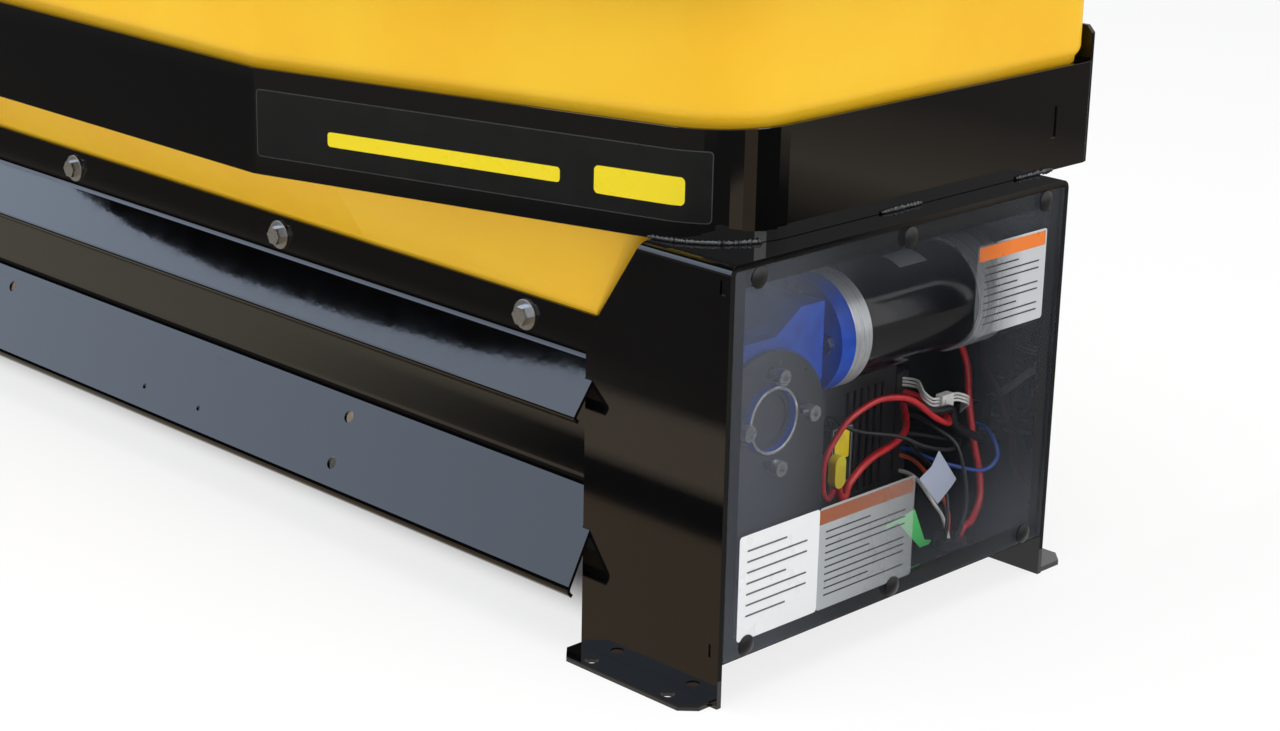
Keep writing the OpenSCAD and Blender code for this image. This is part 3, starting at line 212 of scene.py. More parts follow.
def start(name, hex_colour, metallic, roughness, **sockets):
    """A material with one Principled shader and object coordinates in metres."""
    material = bpy.data.materials.new(name)
    material.use_nodes = True
    tree = material.node_tree
    shader = tree.nodes["Principled BSDF"]
    shader.inputs["Base Color"].default_value = linear(hex_colour)
    shader.inputs["Metallic"].default_value = metallic
    shader.inputs["Roughness"].default_value = roughness
    for socket, value in sockets.items():
        shader.inputs[socket.replace("_", " ")].default_value = value
    place = add(tree, "ShaderNodeTexCoord").outputs["Object"]
    return material, tree, shader, place


def grain(tree, place, size, detail=2.0, roughness=0.5):
    """Noise whose blobs are size mm across, from 0 to 1."""
    noise_node = add(tree, "ShaderNodeTexNoise",
                     {"Vector": place, "Scale": 1 / (size * MM), "Detail": detail, "Roughness": roughness})
    return noise_node.outputs["Fac"]


def spread(tree, value, low, high, start_at=0.3, end_at=0.7):
    """Maps noise, or another value with its own range, onto a range of values."""
    return add(tree, "ShaderNodeMapRange", {"Value": value, "From Min": start_at, "From Max": end_at,
                                            "To Min": low, "To Max": high}).outputs["Result"]


def tint(tree, shader, value, dark, light):
    """Colours the surface from dark to light as value goes from 0 to 1."""
    tree.links.new(blend(tree, value, linear(dark), linear(light)), shader.inputs["Base Color"])


def roughen(tree, shader, pattern, low, high, *ends):
    """Spreads the surface's roughness from low to high over a pattern."""
    tree.links.new(spread(tree, pattern, low, high, *ends), shader.inputs["Roughness"])


def relief(tree, shader, height, depth):
    """Bump of depth mm from a height pattern."""
    bump = add(tree, "ShaderNodeBump", {"Height": height, "Distance": depth * MM, "Strength": 1.0})
    tree.links.new(bump.outputs["Normal"], shader.inputs["Normal"])


def powder_coat(name, dark, light, roughness, peel):
    """Polyester powder coat on sheet steel: a deep even colour under gloss, with a faint orange peel."""
    material, tree, shader, place = start(name, dark, 0.0, roughness, IOR=1.5)
    tint(tree, shader, grain(tree, place, 40), dark, light)
    roughen(tree, shader, grain(tree, place, 25, 3), roughness * 0.7, roughness * 1.3)
    relief(tree, shader, grain(tree, place, 7, 1), peel)
    return material


def rotomoulded_polyethylene(name, dark, light, roughness=0.42):
    """Rotationally moulded polyethylene: satin, with a fine pebble and slow waves from cooling."""
    material, tree, shader, place = start(name, light, 0.0, roughness, IOR=1.5, Specular_IOR_Level=0.4)
    tint(tree, shader, spread(tree, grain(tree, place, 140, 3), 0, 1), dark, light)
    roughen(tree, shader, grain(tree, place, 25, 3), roughness - 0.05, roughness + 0.06)
    fine, wave = grain(tree, place, 1.6, 2), grain(tree, place, 70, 1)
    relief(tree, shader, maths(tree, "ADD", maths(tree, "MULTIPLY", fine, 0.05), wave), 0.35)
    return material


def plain_metal(name, hex_colour, roughness, size, stretch=(1, 1, 1), depth=0.004, metallic=1.0):
    """Metal with a grain of size mm, drawn out along an axis where it is brushed or turned."""
    material, tree, shader, place = start(name, hex_colour, metallic, roughness)
    drawn = add(tree, "ShaderNodeMapping", {"Vector": place, "Scale": stretch}).outputs["Vector"]
    lines = grain(tree, drawn, size, 3, 0.6)
    roughen(tree, shader, lines, roughness - 0.08, roughness + 0.1)
    relief(tree, shader, lines, depth)
    return material


def worn_steel(name):
    """Hot-rolled steel polished by salt, with thin rust left in the low places."""
    material, tree, shader, place = start(name, "#6f6a63", 0.85, 0.45)
    tint(tree, shader, spread(tree, grain(tree, place, 22, 6, 0.7), 0, 1, 0.42, 0.6), "#5e4a38", "#8b8c8c")
    roughen(tree, shader, grain(tree, place, 12, 4), 0.32, 0.6)
    relief(tree, shader, grain(tree, place, 3, 4), 0.05)
    return material


def galvanised(name):
    """Hot-dip zinc: pale grey spangles, each a shade apart."""
    material, tree, shader, place = start(name, "#9aa0a6", 0.9, 0.4)
    spangle = add(tree, "ShaderNodeTexVoronoi", {"Vector": place, "Scale": 1 / (9 * MM)}).outputs["Color"]
    shade = add(tree, "ShaderNodeSeparateColor", {"Color": spangle}).outputs[0]
    tint(tree, shader, shade, "#82878d", "#a9aeb3")
    roughen(tree, shader, shade, 0.3, 0.5, 0, 1)
    return material


def turned_aluminium(name):
    """Machined aluminium: fine lathe rings round the motor's axis, bright and a little streaked."""
    material, tree, shader, place = start(name, "#b9bcc0", 0.5, 0.3)
    rings = add(tree, "ShaderNodeMapping", {"Vector": place, "Scale": (0.02, 1, 0.02)}).outputs["Vector"]
    lines = grain(tree, rings, 0.9, 4, 0.7)
    roughen(tree, shader, lines, 0.22, 0.42)
    tint(tree, shader, spread(tree, lines, 0, 1), "#a3a6aa", "#c6c9cc")
    relief(tree, shader, lines, 0.01)
    return material


def cast_paint(name, dark, light, roughness, texture=0.06, gloss=0.5):
    """Enamel over a sand casting: glossy, with the casting's pebble showing through."""
    material, tree, shader, place = start(name, light, 0.0, roughness, IOR=1.5, Specular_IOR_Level=gloss)
    tint(tree, shader, spread(tree, grain(tree, place, 14, 3), 0, 1), dark, light)
    relief(tree, shader, grain(tree, place, 2.2, 3), texture)
    return material


def moulded(name, dark, light, roughness, size=0.8, depth=0.01):
    """Moulded plastic or rubber: an even colour with a fine mould texture."""
    material, tree, shader, place = start(name, light, 0.0, roughness)
    tint(tree, shader, spread(tree, grain(tree, place, 18, 2), 0, 1), dark, light)
    relief(tree, shader, grain(tree, place, size, 2), depth)
    return material


def clear_sheet(name):
    """Polycarbonate sheet: clear, under a smoky grey film that thickens towards its edges: partly handling
    haze, partly a painted reflection shown as a lit diffuse layer.
    """
    material, tree, shader, place = start(name, "#7f8590", 0.0, 0.1, IOR=1.58)
    front, back, top = cover_low.y, cover_high.y, cover_high.z
    haze_and_reflection = maths(tree, "MULTIPLY", grain(tree, place, 120, 3), 0.02)
    # axis, where the film is thinnest, where it is thickest, and how much it hides there; the thickening
    # paints the cover's reflection as well as haze
    edges = [("Y", front + 0.16, front + 0.02, 0.19), ("Z", top - 0.08, top - 0.01, 0.05),
             ("Z", 0.14, 0.05, 0.07), ("Y", back - 0.14, back - 0.04, 0.06)]
    for axis, thin, thick, most in edges:
        rise = smooth_rise(tree, part_of(tree, place, axis), thin, thick, most)
        haze_and_reflection = maths(tree, "ADD", haze_and_reflection, rise)
    tree.links.new(haze_and_reflection, shader.inputs["Alpha"])
    roughen(tree, shader, grain(tree, place, 30, 4), 0.06, 0.14)
    return material


def film(name, hex_colour, roughness=0.3, fade=None):
    """Printed polyester film: flat and even. A faded one goes from one opacity to another along y in mm."""
    material, tree, shader, place = start(name, hex_colour, 0.0, roughness, IOR=1.5)
    roughen(tree, shader, grain(tree, place, 20, 2), roughness - 0.04, roughness + 0.05)
    relief(tree, shader, grain(tree, place, 8, 1), 0.008)
    if fade:
        near, near_alpha, far, far_alpha = fade
        y = part_of(tree, place, "Y")
        opacity = spread(tree, y, near_alpha, far_alpha, FRONT + near * MM, FRONT + far * MM)
        tree.links.new(opacity, shader.inputs["Alpha"])
    return material


def made_from(recipes):
    """Materials by name. A recipe is a function, the material's name and the function's other arguments."""
    return {name: recipe(name, *rest) for recipe, name, *rest in recipes}


# The others are only the scene's
finishes = made_from([
    (powder_coat, "powder_coat_black", "#060607", "#09090a", 0.035, 0.006),
    (rotomoulded_polyethylene, "polyethylene_yellow", "#fdc01c", "#ffcb26"),
    (rotomoulded_polyethylene, "polyethylene_black", "#131416", "#1a1b1d", 0.5),
    (powder_coat, "lid_fittings_black", "#101113", "#151618", 0.3, 0.02),
    (plain_metal, "zinc_steel", "#a4a7ab", 0.35, 1.2, (0.1, 1, 1)),
    (plain_metal, "stainless_fixings", "#b9bbbd", 0.27, 0.5),
    (galvanised, "gate_steel"),
    (worn_steel, "auger_steel"),
    (moulded, "seal_rubber", "#0e0e0f", "#161617", 0.6),
    (cast_paint, "bearing_iron", "#2c3034", "#34383c", 0.5, 0.12),
    (plain_metal, "bearing_steel", "#b5b8bb", 0.2, 0.6),
    (plain_metal, "fitting_brass", "#b58c45", 0.3, 0.5),
    (cast_paint, "gearbox_blue", "#05389a", "#084bbc", 0.25, 0.06, 0.2),
    (plain_metal, "wheel_bronze", "#a87b3c", 0.35, 0.8),
    (plain_metal, "worm_steel", "#9a9da0", 0.25, 0.6, (1, 0.1, 1)),
    (powder_coat, "plate_grey", "#1c1e20", "#222426", 0.36, 0.003),
    (powder_coat, "motor_black", "#08080a", "#0c0c0e", 0.12, 0.001),
    (turned_aluminium, "bell_aluminium"),
    (clear_sheet, "clear_polycarbonate"),
    (moulded, "rivet_nylon", "#0c0d0e", "#131416", 0.38),
    (moulded, "electronics_black", "#0d0d0f", "#151517", 0.42),
    (moulded, "fuse_yellow", "#c9b70e", "#dccb1c", 0.3),
    (moulded, "connector_white", "#d8d9d5", "#ececea", 0.4),
    (moulded, "insulation_red", "#9e0c14", "#c01620", 0.34),
    (moulded, "insulation_black", "#101012", "#19191b", 0.36),
    (moulded, "insulation_blue", "#123a86", "#1a4ba6", 0.34),
    (moulded, "insulation_orange", "#d24c1f", "#ee6a35", 0.36),
    (moulded, "insulation_white", "#d6d6d2", "#eeeeec", 0.36),
])
trim_finishes = made_from([
    (film, "label_white", "#eceeef"),
    (film, "label_silver_high", "#c9cccf", 0.3, (312, 0.08, 350, 0.96)),
    (film, "label_orange_high", "#f08030", 0.3, (276, 0.25, 335, 0.97)),
    (film, "label_silver_low", "#bfc3c6", 0.3, (107, 0.72, 226, 0.22)),
    (film, "label_orange_low", "#b8602c", 0.3, (107, 0.5, 226, 0.22)),
    (film, "label_print", "#4a4d51", 0.3, (107, 0.7, 226, 0.35)),
    (film, "label_print_high", "#3c3e41", 0.3, (300, 0.3, 346, 0.9)),
    (film, "label_yellow", "#f5dc12"),
    (film, "label_grey", "#5c5f62"),
    (film, "label_edge", "#3a3c3e"),
    (film, "label_black", "#101112", 0.2),
    (film, "motor_label_silver", "#8d9297", 0.4),
    (film, "tape_green", "#46c463", 0.5),
    (film, "flag_grey", "#a9b1c6", 0.4),
    (film, "tag_pink", "#d98a80", 0.5),
    (plain_metal, "weld_steel", "#4a4b4d", 0.35, 2.0, (1, 1, 1), 0.4, 0.8),
    (plain_metal, "boss_steel", "#d0d3d6", 0.25, 0.5),
])


# ---------------- making pieces

def shade_by_angle(piece, degrees):
    """Smooth shading where neighbouring faces meet at less than an angle."""
    mesh = piece.data
    for face in mesh.polygons:
        face.use_smooth = True
    edit = bmesh.new()
    edit.from_mesh(mesh)
    for edge in edit.edges:
        edge.smooth = len(edge.link_faces) == 2 and edge.calc_face_angle(math.pi) < math.radians(degrees)
    edit.to_mesh(mesh)
    edit.free()


made = []  # every piece that make() has made
hidden = set()  # the CAD nodes that those pieces replace


def new_object(name, corners, faces, material):
    """An object in the scene from corners in the row frame, their faces and a material."""
    mesh = bpy.data.meshes.new(name)
    mesh.from_pydata([tuple(corner) for corner in corners], [], faces)
    mesh.update()
    mesh.materials.append(material)
    new = bpy.data.objects.new(name, mesh)
    bpy.context.scene.collection.objects.link(new)
    return new


def make(name, corners, faces, finish, body="frame", angle=35, replaces=()):
    """A piece of the machine that rides on a body and may replace CAD nodes."""
    piece = new_object(name, corners, faces, finishes.get(finish) or trim_finishes[finish])
    shade_by_angle(piece, angle)
    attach(piece, body)
    if replaces:
        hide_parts(*replaces)
        hidden.update(replaces)
    made.append(piece)
    return piece


def rounded(piece, width):
    """Breaks a piece's sharp edges by width mm."""
    bevel = piece.modifiers.new("broken_edges", "BEVEL")
    bevel.width = width * MM
    bevel.segments = 2
    bevel.limit_method = "ANGLE"
    bevel.angle_limit = math.radians(30)
    bevel.use_clamp_overlap = True
    normals = piece.modifiers.new("even_faces", "WEIGHTED_NORMAL")
    normals.keep_sharp = True


def lofted(rings, closed=False, caps=True):
    """Corners and faces of a skin through rings of equal length; closed joins the last ring to the first."""
    size = len(rings[0])
    corners = [c for ring in rings for c in ring]
    faces = []
    for j in range(len(rings) if closed else len(rings) - 1):
        low, high = j * size, (j + 1) % len(rings) * size
        faces += [[low + i, low + (i + 1) % size, high + (i + 1) % size, high + i] for i in range(size)]
    if caps and not closed:
        faces.append(list(range(size))[::-1])
        faces.append([(len(rings) - 1) * size + i for i in range(size)])
    return corners, faces


def smooth_path(points):
    """A smooth line through the points."""
    steps = 6  # from each point to the next
    line = []
    for i in range(len(points) - 1):
        a, b, c, d = points[max(i - 1, 0)], points[i], points[i + 1], points[min(i + 2, len(points) - 1)]
        for k in range(steps):
            s = k / steps
            line.append((2 * b + (c - a) * s + (2 * a - 5 * b + 4 * c - d) * s ** 2
                         + (3 * b - a - 3 * c + d) * s ** 3) / 2)
    return line + [points[-1]]


def tube(line, radii, sides=14):
    """Rings of a round tube along a line, with a radius for each point."""
    rings = []
    across = None
    for i, point in enumerate(line):
        ahead = (line[min(i + 1, len(line) - 1)] - line[max(i - 1, 0)]).normalized()
        if across is None:
            across = ahead.cross(Vector((0, 0, 1)) if abs(ahead.z) < 0.8 else Vector((0, 1, 0)))
        across = (across - ahead * across.dot(ahead)).normalized()
        up = ahead.cross(across)
        rings.append([point + radii[i] * (across * math.cos(t) + up * math.sin(t))
                      for t in [math.tau * k / sides for k in range(sides)]])
    return rings


def put_on(node, finish, edge):
    """Gives a CAD node its finish and breaks its sheared edges."""
    piece = nodes[node]
    piece.data.materials.clear()
    piece.data.materials.append(finishes[finish])
    if edge:
        weld = piece.modifiers.new("one_skin", "WELD")
        weld.merge_threshold = 0.01 * MM
        rounded(piece, edge)


slot_of = {entry["node"]: entry["material_slot"] for entry in frame["record"]["subparts"]}
sheet_nodes = ["drive_end_frame", "idler_end_frame", "drive_bulkhead", "idler_bulkhead", "front_band",
               "drive_band", "idler_band", "back_plate", "front_eave", "rear_strip", "front_deflector",
               "rear_deflector", "gate_hangers", "clear_cover", "reaction_plate", "gate_handle"]
cast_nodes = ["gearbox_housing", "gearbox_rear_cover", "idler_bearing_housing", "motor_front_bell",
              "motor_rear_bell", "control_module", "terminal_strip", "relay_block", "inline_connector",
              "sensor_plug", "harness_inlet", "lid_handle", "inline_fuse"]
# the trough and the gate are each two nodes of one sheet, so their edges stay plain and no seam shows;
# the folded plates keep the CAD's own normals, which the long reflections need
plain_nodes = ["auger_flighting", "worm_wheel", "trough_walls", "trough_bridges", "gate_rails",
               "gate_bridges", "front_eave", "rear_strip", "front_deflector", "rear_deflector"]
for node, slot in slot_of.items():
    edge = 0.5 if node in sheet_nodes else 1.2 if node in cast_nodes else 0.3
    put_on(node, slot, 0 if node in plain_nodes else edge)


# ---------------- hopper and lid

BAND_FLAT = 426  # half length of the band's straight middle, mm
BAND_CORNER_Y = 27
BAND_RADIUS = 80
BACK_RADIUS = 22
band_low, band_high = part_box("drive_band")
BAND_X = (band_high.x - MIDDLE) / MM
BAND_FRONT = (FRONT - band_low.y) / MM
BAND_BACK = (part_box("back_plate")[0].y - FRONT) / MM
BAND_TOP = band_high.z / MM
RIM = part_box("hopper")[1].z / MM
LEG_X = (trough_high.x - MIDDLE) / MM
TROUGH = [(corner.y - FRONT) / MM for corner in (trough_low, trough_high)]
TROUGH_TOP = trough_high.z / MM


def spot_at(x, y, z):
    """A place in mm: across from the machine's middle, behind the front leg's inner face, above the floor."""
    return Vector((MIDDLE + x * MM, FRONT + y * MM, z * MM))


def bend(corner, before, after, radius, steps):
    """Points round a corner of an outline, between the lines from before and to after."""
    a, b = (before - corner).normalized(), (after - corner).normalized()
    half = a.angle(b) / 2
    centre = corner + (a + b).normalized() * (radius / math.sin(half))
    first = corner + a * (radius / math.tan(half)) - centre
    last = corner + b * (radius / math.tan(half)) - centre
    turn = first.angle_signed(last)
    return [centre + Matrix.Rotation(-turn * k / steps, 2) @ first for k in range(steps + 1)]


def half_outline(front, corner, back, x_back, front_radius, corner_radius, back_radius):
    """Half of a hopper outline from its middle front to its middle back, as plan points in mm."""
    spots = [Vector((0, front.y)), front, corner, Vector((x_back, back)), Vector((0, back))]
    outline = []
    for i, (radius, count) in enumerate([(front_radius, 8), (corner_radius, 18), (back_radius, 8)]):
        outline += bend(spots[i + 1], spots[i], spots[i + 2], radius, count)
    return outline


def ring_at(outline, height):
    """A whole outline, mirrored about the middle, at a height in mm."""
    whole = outline + [Vector((-p.x, p.y)) for p in reversed(outline)]
    return [spot_at(p.x, p.y, height) for p in whole]


def upper_ring(inset, height):
    """An outline inside the band's outer face by inset mm."""
    taper = math.atan2(BAND_CORNER_Y + BAND_FRONT, BAND_X - BAND_FLAT)
    front = Vector((BAND_FLAT - inset * math.tan(taper / 2), inset - BAND_FRONT))
    corner = Vector((BAND_X - inset, BAND_CORNER_Y + inset * math.cos(taper) / (1 + math.sin(taper))))
    back = BAND_BACK - 0.3 - inset
    return ring_at(half_outline(front, corner, back, BAND_X - inset, 40, max(BAND_RADIUS - inset, 20),
                                max(BACK_RADIUS - inset, 5)), height)


def upper_rings(*places):
    """Upper rings through places on the hopper's section, each an inset and a height in mm."""
    return [upper_ring(inset, height) for inset, height in places]


def lower_ring(inset, height):
    """An outline inside the hopper's bottom lips by inset mm."""
    front, back = TROUGH[0] - 5 + inset, TROUGH[1] + 5 - inset
    spot_front, spot_corner = Vector((BAND_FLAT, front)), Vector((LEG_X - 1 - inset, front))
    outline = [spot_front + Vector((t, 0)) for t in (-12, -9, -6, -3, 0, 3, 6, 9, 12)]
    outline += bend(spot_corner, spot_front, Vector((spot_corner.x, back)), 3, 18)
    outline += bend(Vector((spot_corner.x, back)), spot_corner, Vector((0, back)), 3, 8)
    return ring_at(outline, height)


def mixed(ring_a, ring_b, share):
    return [a.lerp(b, share) for a, b in zip(ring_a, ring_b)]


def quarter(centre_inset, centre_height, radius, first, last, steps=5):
    """Upper rings round an edge: the section turns about a centre from one angle to another."""
    turns = [math.radians(first + (last - first) * k / steps) for k in range(steps + 1)]
    return upper_rings(*[(centre_inset - radius * math.cos(t), centre_height + radius * math.sin(t))
                         for t in turns])


def make_hopper():
    shoulder, wall = BAND_TOP + 14, 6
    rings = quarter(-8, RIM - 3, 3, 90, 0, 4)  # the rim's flange, rounded over
    rings += quarter(-9, RIM - 4, 2, 0, -90, 3)
    rings += upper_rings((-2, RIM - 6), (0.6, RIM - 8), (1, RIM - 12), (1, RIM - 60), (1, shoulder + 20))
    rings += quarter(13, shoulder + 1, 12, 0, -50, 6)
    top_slope, bottom_slope = upper_ring(6, BAND_TOP + 0.2), lower_ring(0, TROUGH_TOP + 4)
    rings += [mixed(top_slope, bottom_slope, s) for s in (0, 0.02, 0.3, 0.6, 0.9, 0.98, 1)]
    rings += [lower_ring(0, TROUGH_TOP - 10), lower_ring(0, TROUGH_TOP - 28), lower_ring(5, TROUGH_TOP - 28)]
    rings += [lower_ring(5, TROUGH_TOP), lower_ring(5, TROUGH_TOP + 3)]
    inner_top, inner_bottom = upper_ring(6 + wall, BAND_TOP + 4), lower_ring(5, TROUGH_TOP + 3)
    rings += [mixed(inner_bottom, inner_top, s) for s in (0.3, 0.6, 0.98)]
    rings += upper_rings((9, BAND_TOP + 10), (1 + wall, BAND_TOP + 18), (1 + wall, RIM - 20), (wall, RIM - 4),
                         (4, RIM))
    corners, faces = lofted(rings[::-1], closed=True)
    return make("hopper_shell", corners, faces, "polyethylene_yellow", angle=50, replaces=["hopper"])


def make_lid():
    lid_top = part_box("hopper_lid")[1].z / MM
    out, thick = 18, 4
    skirt = RIM - 14
    profile = [(0, -24), (1.5, -20), (4, -16.5), (8, -13), (20, -7.5), (40, -3.2), (60, -1)]
    profile = [(-out + inset, lid_top + height) for inset, height in profile]
    top = upper_rings((-out, skirt), (-out, lid_top - 24), *profile, (-out + 70, lid_top - 1),
                      (-out + 74, lid_top - 0.2), (-out + 80, lid_top), (100, lid_top), (160, lid_top))
    inner = upper_rings(*[(inset + 2, height - thick) for inset, height in reversed(profile[3:])],
                        (-out + thick, RIM + 1.5), (-out + thick, skirt))
    corners, faces = lofted(top, caps=False)
    size = len(top[0])
    faces.append([(len(top) - 1) * size + i for i in range(size)])
    start_inner = len(corners)
    inner_rings = [upper_ring(160, lid_top - thick)] + inner
    more, more_faces = lofted(inner_rings, caps=False)
    corners += more
    faces += [[start_inner + i for i in face] for face in more_faces]
    faces.append([start_inner + i for i in range(size)][::-1])
    last = start_inner + (len(inner_rings) - 1) * size
    faces += [[last + i, last + (i + 1) % size, (i + 1) % size, i] for i in range(size)]
    make("lid_shell", corners, faces, "polyethylene_black", "lid", angle=50, replaces=["hopper_lid"])


hopper = make_hopper()
make_lid()

# ---------------- films and labels

def film_strip(name, span, height, finish, spot, radius=0.0, rows=1):
    """A film over a span and a height, its corners rounded, lying where spot(along, up) puts it."""
    (first, last), (low, high) = span, height
    steps = max(2, int((last - first) / 8))
    stops = [first + (last - first) * k / steps for k in range(steps + 1)]
    if radius:
        turns = [radius * (1 - math.cos(math.radians(t))) for t in range(0, 90, 15)]
        stops = [stop for stop in stops if first + radius <= stop <= last - radius]
        stops = [first + t for t in turns] + stops + [last - t for t in reversed(turns)]
    corners = []
    for stop in stops:
        inside = min(stop - first, last - stop, radius)
        cut = radius - math.sqrt(max(radius ** 2 - (radius - inside) ** 2, 0))
        bottom, top = low + cut, high - cut
        corners += [spot(stop, bottom + (top - bottom) * k / rows) for k in range(rows + 1)]
    wide = rows + 1
    faces = [[i * wide + k, (i + 1) * wide + k, (i + 1) * wide + k + 1, i * wide + k + 1]
             for i in range(len(stops) - 1) for k in range(rows)]
    piece = make(name, corners, faces, finish)
    thick = piece.modifiers.new("film", "SOLIDIFY")
    thick.thickness = 0.15 * MM
    return piece


def along_band(along, z, proud):
    """A place on the band's outer face: mm along from where it starts to taper, round the corner and back."""
    first, corner = Vector((BAND_FLAT, -BAND_FRONT)), Vector((BAND_X, BAND_CORNER_Y))
    taper = corner - first
    heading = math.atan2(taper.y, taper.x)
    turn = math.pi / 2 - heading
    straight = taper.length - BAND_RADIUS * math.tan(turn / 2)
    ahead = Vector((math.cos(heading), math.sin(heading)))
    place = first + ahead * min(along, straight)
    if along > straight:
        centre = place + Vector((-ahead.y, ahead.x)) * BAND_RADIUS
        heading += min((along - straight) / BAND_RADIUS, turn)
        place = centre + Vector((math.sin(heading), -math.cos(heading))) * BAND_RADIUS
        place.y += max(along - straight - turn * BAND_RADIUS, 0)
    place += Vector((math.sin(heading), -math.cos(heading))) * proud
    return spot_at(place.x, place.y, z)


def along_of(place):
    """How far along the band a place on it is, to the nearest mm."""
    return min(range(900), key=lambda along: (along_band(along, place.z / MM, 0) - place).length)


def make_decal():
    """The band's decal: gloss black film in a pale outline, with plain bars where the real one has words."""
    place, _ = place_on("band_decal", [nodes["front_band"], nodes["drive_band"]])
    middle, level = along_of(place), place.z / MM
    front, back, tall = 218, 195, 56
    layers = [
        ("decal_outline", -front, back, -tall / 2, tall / 2, "label_edge", 0.3, 3.5),
        ("decal_film", 0.9 - front, back - 0.9, 0.9 - tall / 2, tall / 2 - 0.9, "label_black", 0.5, 2.8),
        ("decal_bar", -148, 67, -11, 1, "label_yellow", 0.7, 3),
        ("decal_block", 97, 174, -15, 7, "label_yellow", 0.7, 4),
    ]
    return [film_strip(name, (middle + first, middle + last), (level + low, level + high), finish,
                       lambda along, up, proud=proud: along_band(along, up, proud), radius)
            for name, first, last, low, high, finish, proud, radius in layers]


def make_stickers():
    """The cover's two stickers: plain panels with coloured heads and ruled lines, and no words."""
    film_proud, print_proud, corner = 0.2, 0.4, 3

    def middle_of(point):
        place, _ = place_on(point, [nodes["clear_cover"]])
        return (place.y - FRONT) / MM, place.z / MM

    def lay(name, middle, first, last, low, high, finish, proud=print_proud, radius=0.0):
        """A film whose ends and edges are measured from its sticker's middle."""
        y, z = middle
        return film_strip(name, (y + first, y + last), (z + low, z + high), finish,
                          lambda y, z: drive(proud, y, z), radius)

    def ruled(name, count, middle, first, last, short, every, low, thick, pitch, finish):
        """Ruled lines down a panel, a pitch apart. The first of every few ends short."""
        return [lay("%s_%d" % (name, k), middle, first, last if k % every else short, low - k * pitch,
                    low + thick - k * pitch, finish) for k in range(count)]

    high, low = middle_of("upper_sticker"), middle_of("lower_sticker")
    panel = {"proud": film_proud, "radius": corner}
    upper = [lay("upper_sticker", high, -45, 47, -38, 40, "label_silver_high", **panel),
             lay("upper_sticker_head", high, -43, 45, 26, 38, "label_orange_high")]
    upper += ruled("upper_sticker_rule", 9, high, -34, 38, 10, 3, 19, 1.2, 6, "label_print_high")
    lower = [lay("lower_sticker_white", low, -104, -12, -45, 42, "label_white", **panel),
             lay("lower_sticker_silver", low, -12, 105, -45, 42, "label_silver_low", **panel),
             lay("lower_sticker_head", low, -12, 103, 28, 40, "label_orange_low")]
    lower += ruled("lower_sticker_rule", 10, low, -4, 94, 50, 4, 20, 1.2, 6, "label_print")
    lower += ruled("lower_sticker_line", 7, low, -95, -26, -50, 3, 28, 1.4, 9, "label_grey")
    return upper, lower


decal = make_decal()
upper_sticker, lower_sticker = make_stickers()


# ---------------- welds

lumps = random.Random(7)


def make_weld(point, half_length):
    """A stitch of weld where the band meets the end frame's top: a bead of overlapping lumps."""
    place, _ = place_on(point, [nodes["drive_band"], nodes["drive_end_frame"]])
    middle = along_of(place)
    pitch, rise, proud = 1.2, 1.2, 0.8
    steps = int(half_length * 2 / pitch)
    line, radii = [], []
    for k in range(steps + 1):
        line.append(along_band(middle - half_length + k * pitch, band_low.z / MM + rise, proud))
        tip = min(k, steps - k, 3) / 3
        radii.append((0.7 + 1.2 * tip + 0.5 * math.sin(k * 1.9) + lumps.uniform(-0.5, 0.6)) * MM)
    return make(point, *lofted(tube(line, radii, 10)), "weld_steel", angle=60)


welds = [make_weld("weld_front", 46), make_weld("weld_middle", 25), make_weld("weld_rear", 25)]


# ---------------- wiring

# Each route in mm: out from the cover's face, behind the front leg, above the floor, as part.scad has it
motor_lead = [[-88, 386, 197], [-84, 392, 178], [-78, 389, 162], [-72, 383, 149], [-60, 378, 114],
              [-52, 378, 89], [-45, 372, 66], [-38, 352, 52], [-34, 338, 52], [-34, 331, 44]]
fuse_lead = [[-58, 191, 116.5], [-60, 187, 108], [-61, 181, 115], [-61, 181, 140], [-60, 190, 156],
             [-58, 207, 173], [-55, 235, 183], [-50, 257, 183], [-46, 276, 176], [-42, 299, 158],
             [-43, 319, 148], [-56, 331, 149], [-80, 332, 157], [-98, 325, 161]]
feed_lead = [[-58, 197, 116.5], [-58, 200, 107], [-59, 207, 106], [-60, 214, 116], [-62, 240, 129],
             [-66, 277, 134], [-74, 300, 138], [-86, 314, 146], [-98, 324, 151]]
relay_lead = [[-88, 218, 157], [-84, 210, 168], [-68, 208, 166], [-60, 223, 158], [-50, 263, 147],
              [-45, 291, 133], [-45, 326, 122], [-55, 352, 121], [-72, 350, 119], [-86, 336, 122],
              [-98, 324, 124]]
ground_lead = [[-98, 325, 140], [-85, 328, 141], [-65, 324, 139], [-45, 332, 127], [-36, 335, 104],
               [-30, 334, 78], [-29, 328, 58], [-30, 322, 44]]
signal_lead = [[-98, 324, 117], [-88, 326, 116], [-70, 317, 112], [-52, 316, 104], [-41, 320, 83],
               [-35, 315, 62], [-35, 313, 44]]
blue_lead = [[-98, 324, 110], [-86, 327, 110], [-72, 323, 110], [-55, 333, 105], [-42, 359, 96],
             [-38, 374, 96], [-37, 383, 105], [-44, 386, 117], [-57, 390, 124], [-71.8, 392, 124]]
orange_lead = [[-98, 324, 103], [-84, 324, 103], [-62, 315, 100], [-48, 319, 84], [-43, 326, 66],
               [-42, 326, 44]]
white_lead = [[-98, 324, 89], [-84, 322, 90], [-66, 314, 89], [-50, 314, 75], [-44, 320, 62],
              [-37, 321, 44]]
sensor_in = [[-98, 322, 171], [-84, 326, 171], [-70, 317, 167], [-62, 319, 162], [-60, 327, 161]]
sensor_out = [[-60, 341, 161], [-60, 352, 160], [-64, 372, 151], [-75, 380, 142], [-82, 385.8, 136]]
sleeve = [[-55, 274, 177], [-52, 308, 159], [-52, 333, 155], [-54, 344, 137], [-58, 388, 113]]
SENSOR_PITCH = 3
WIRE_SIDES = 16
LEAD_RADIUS = 1.7


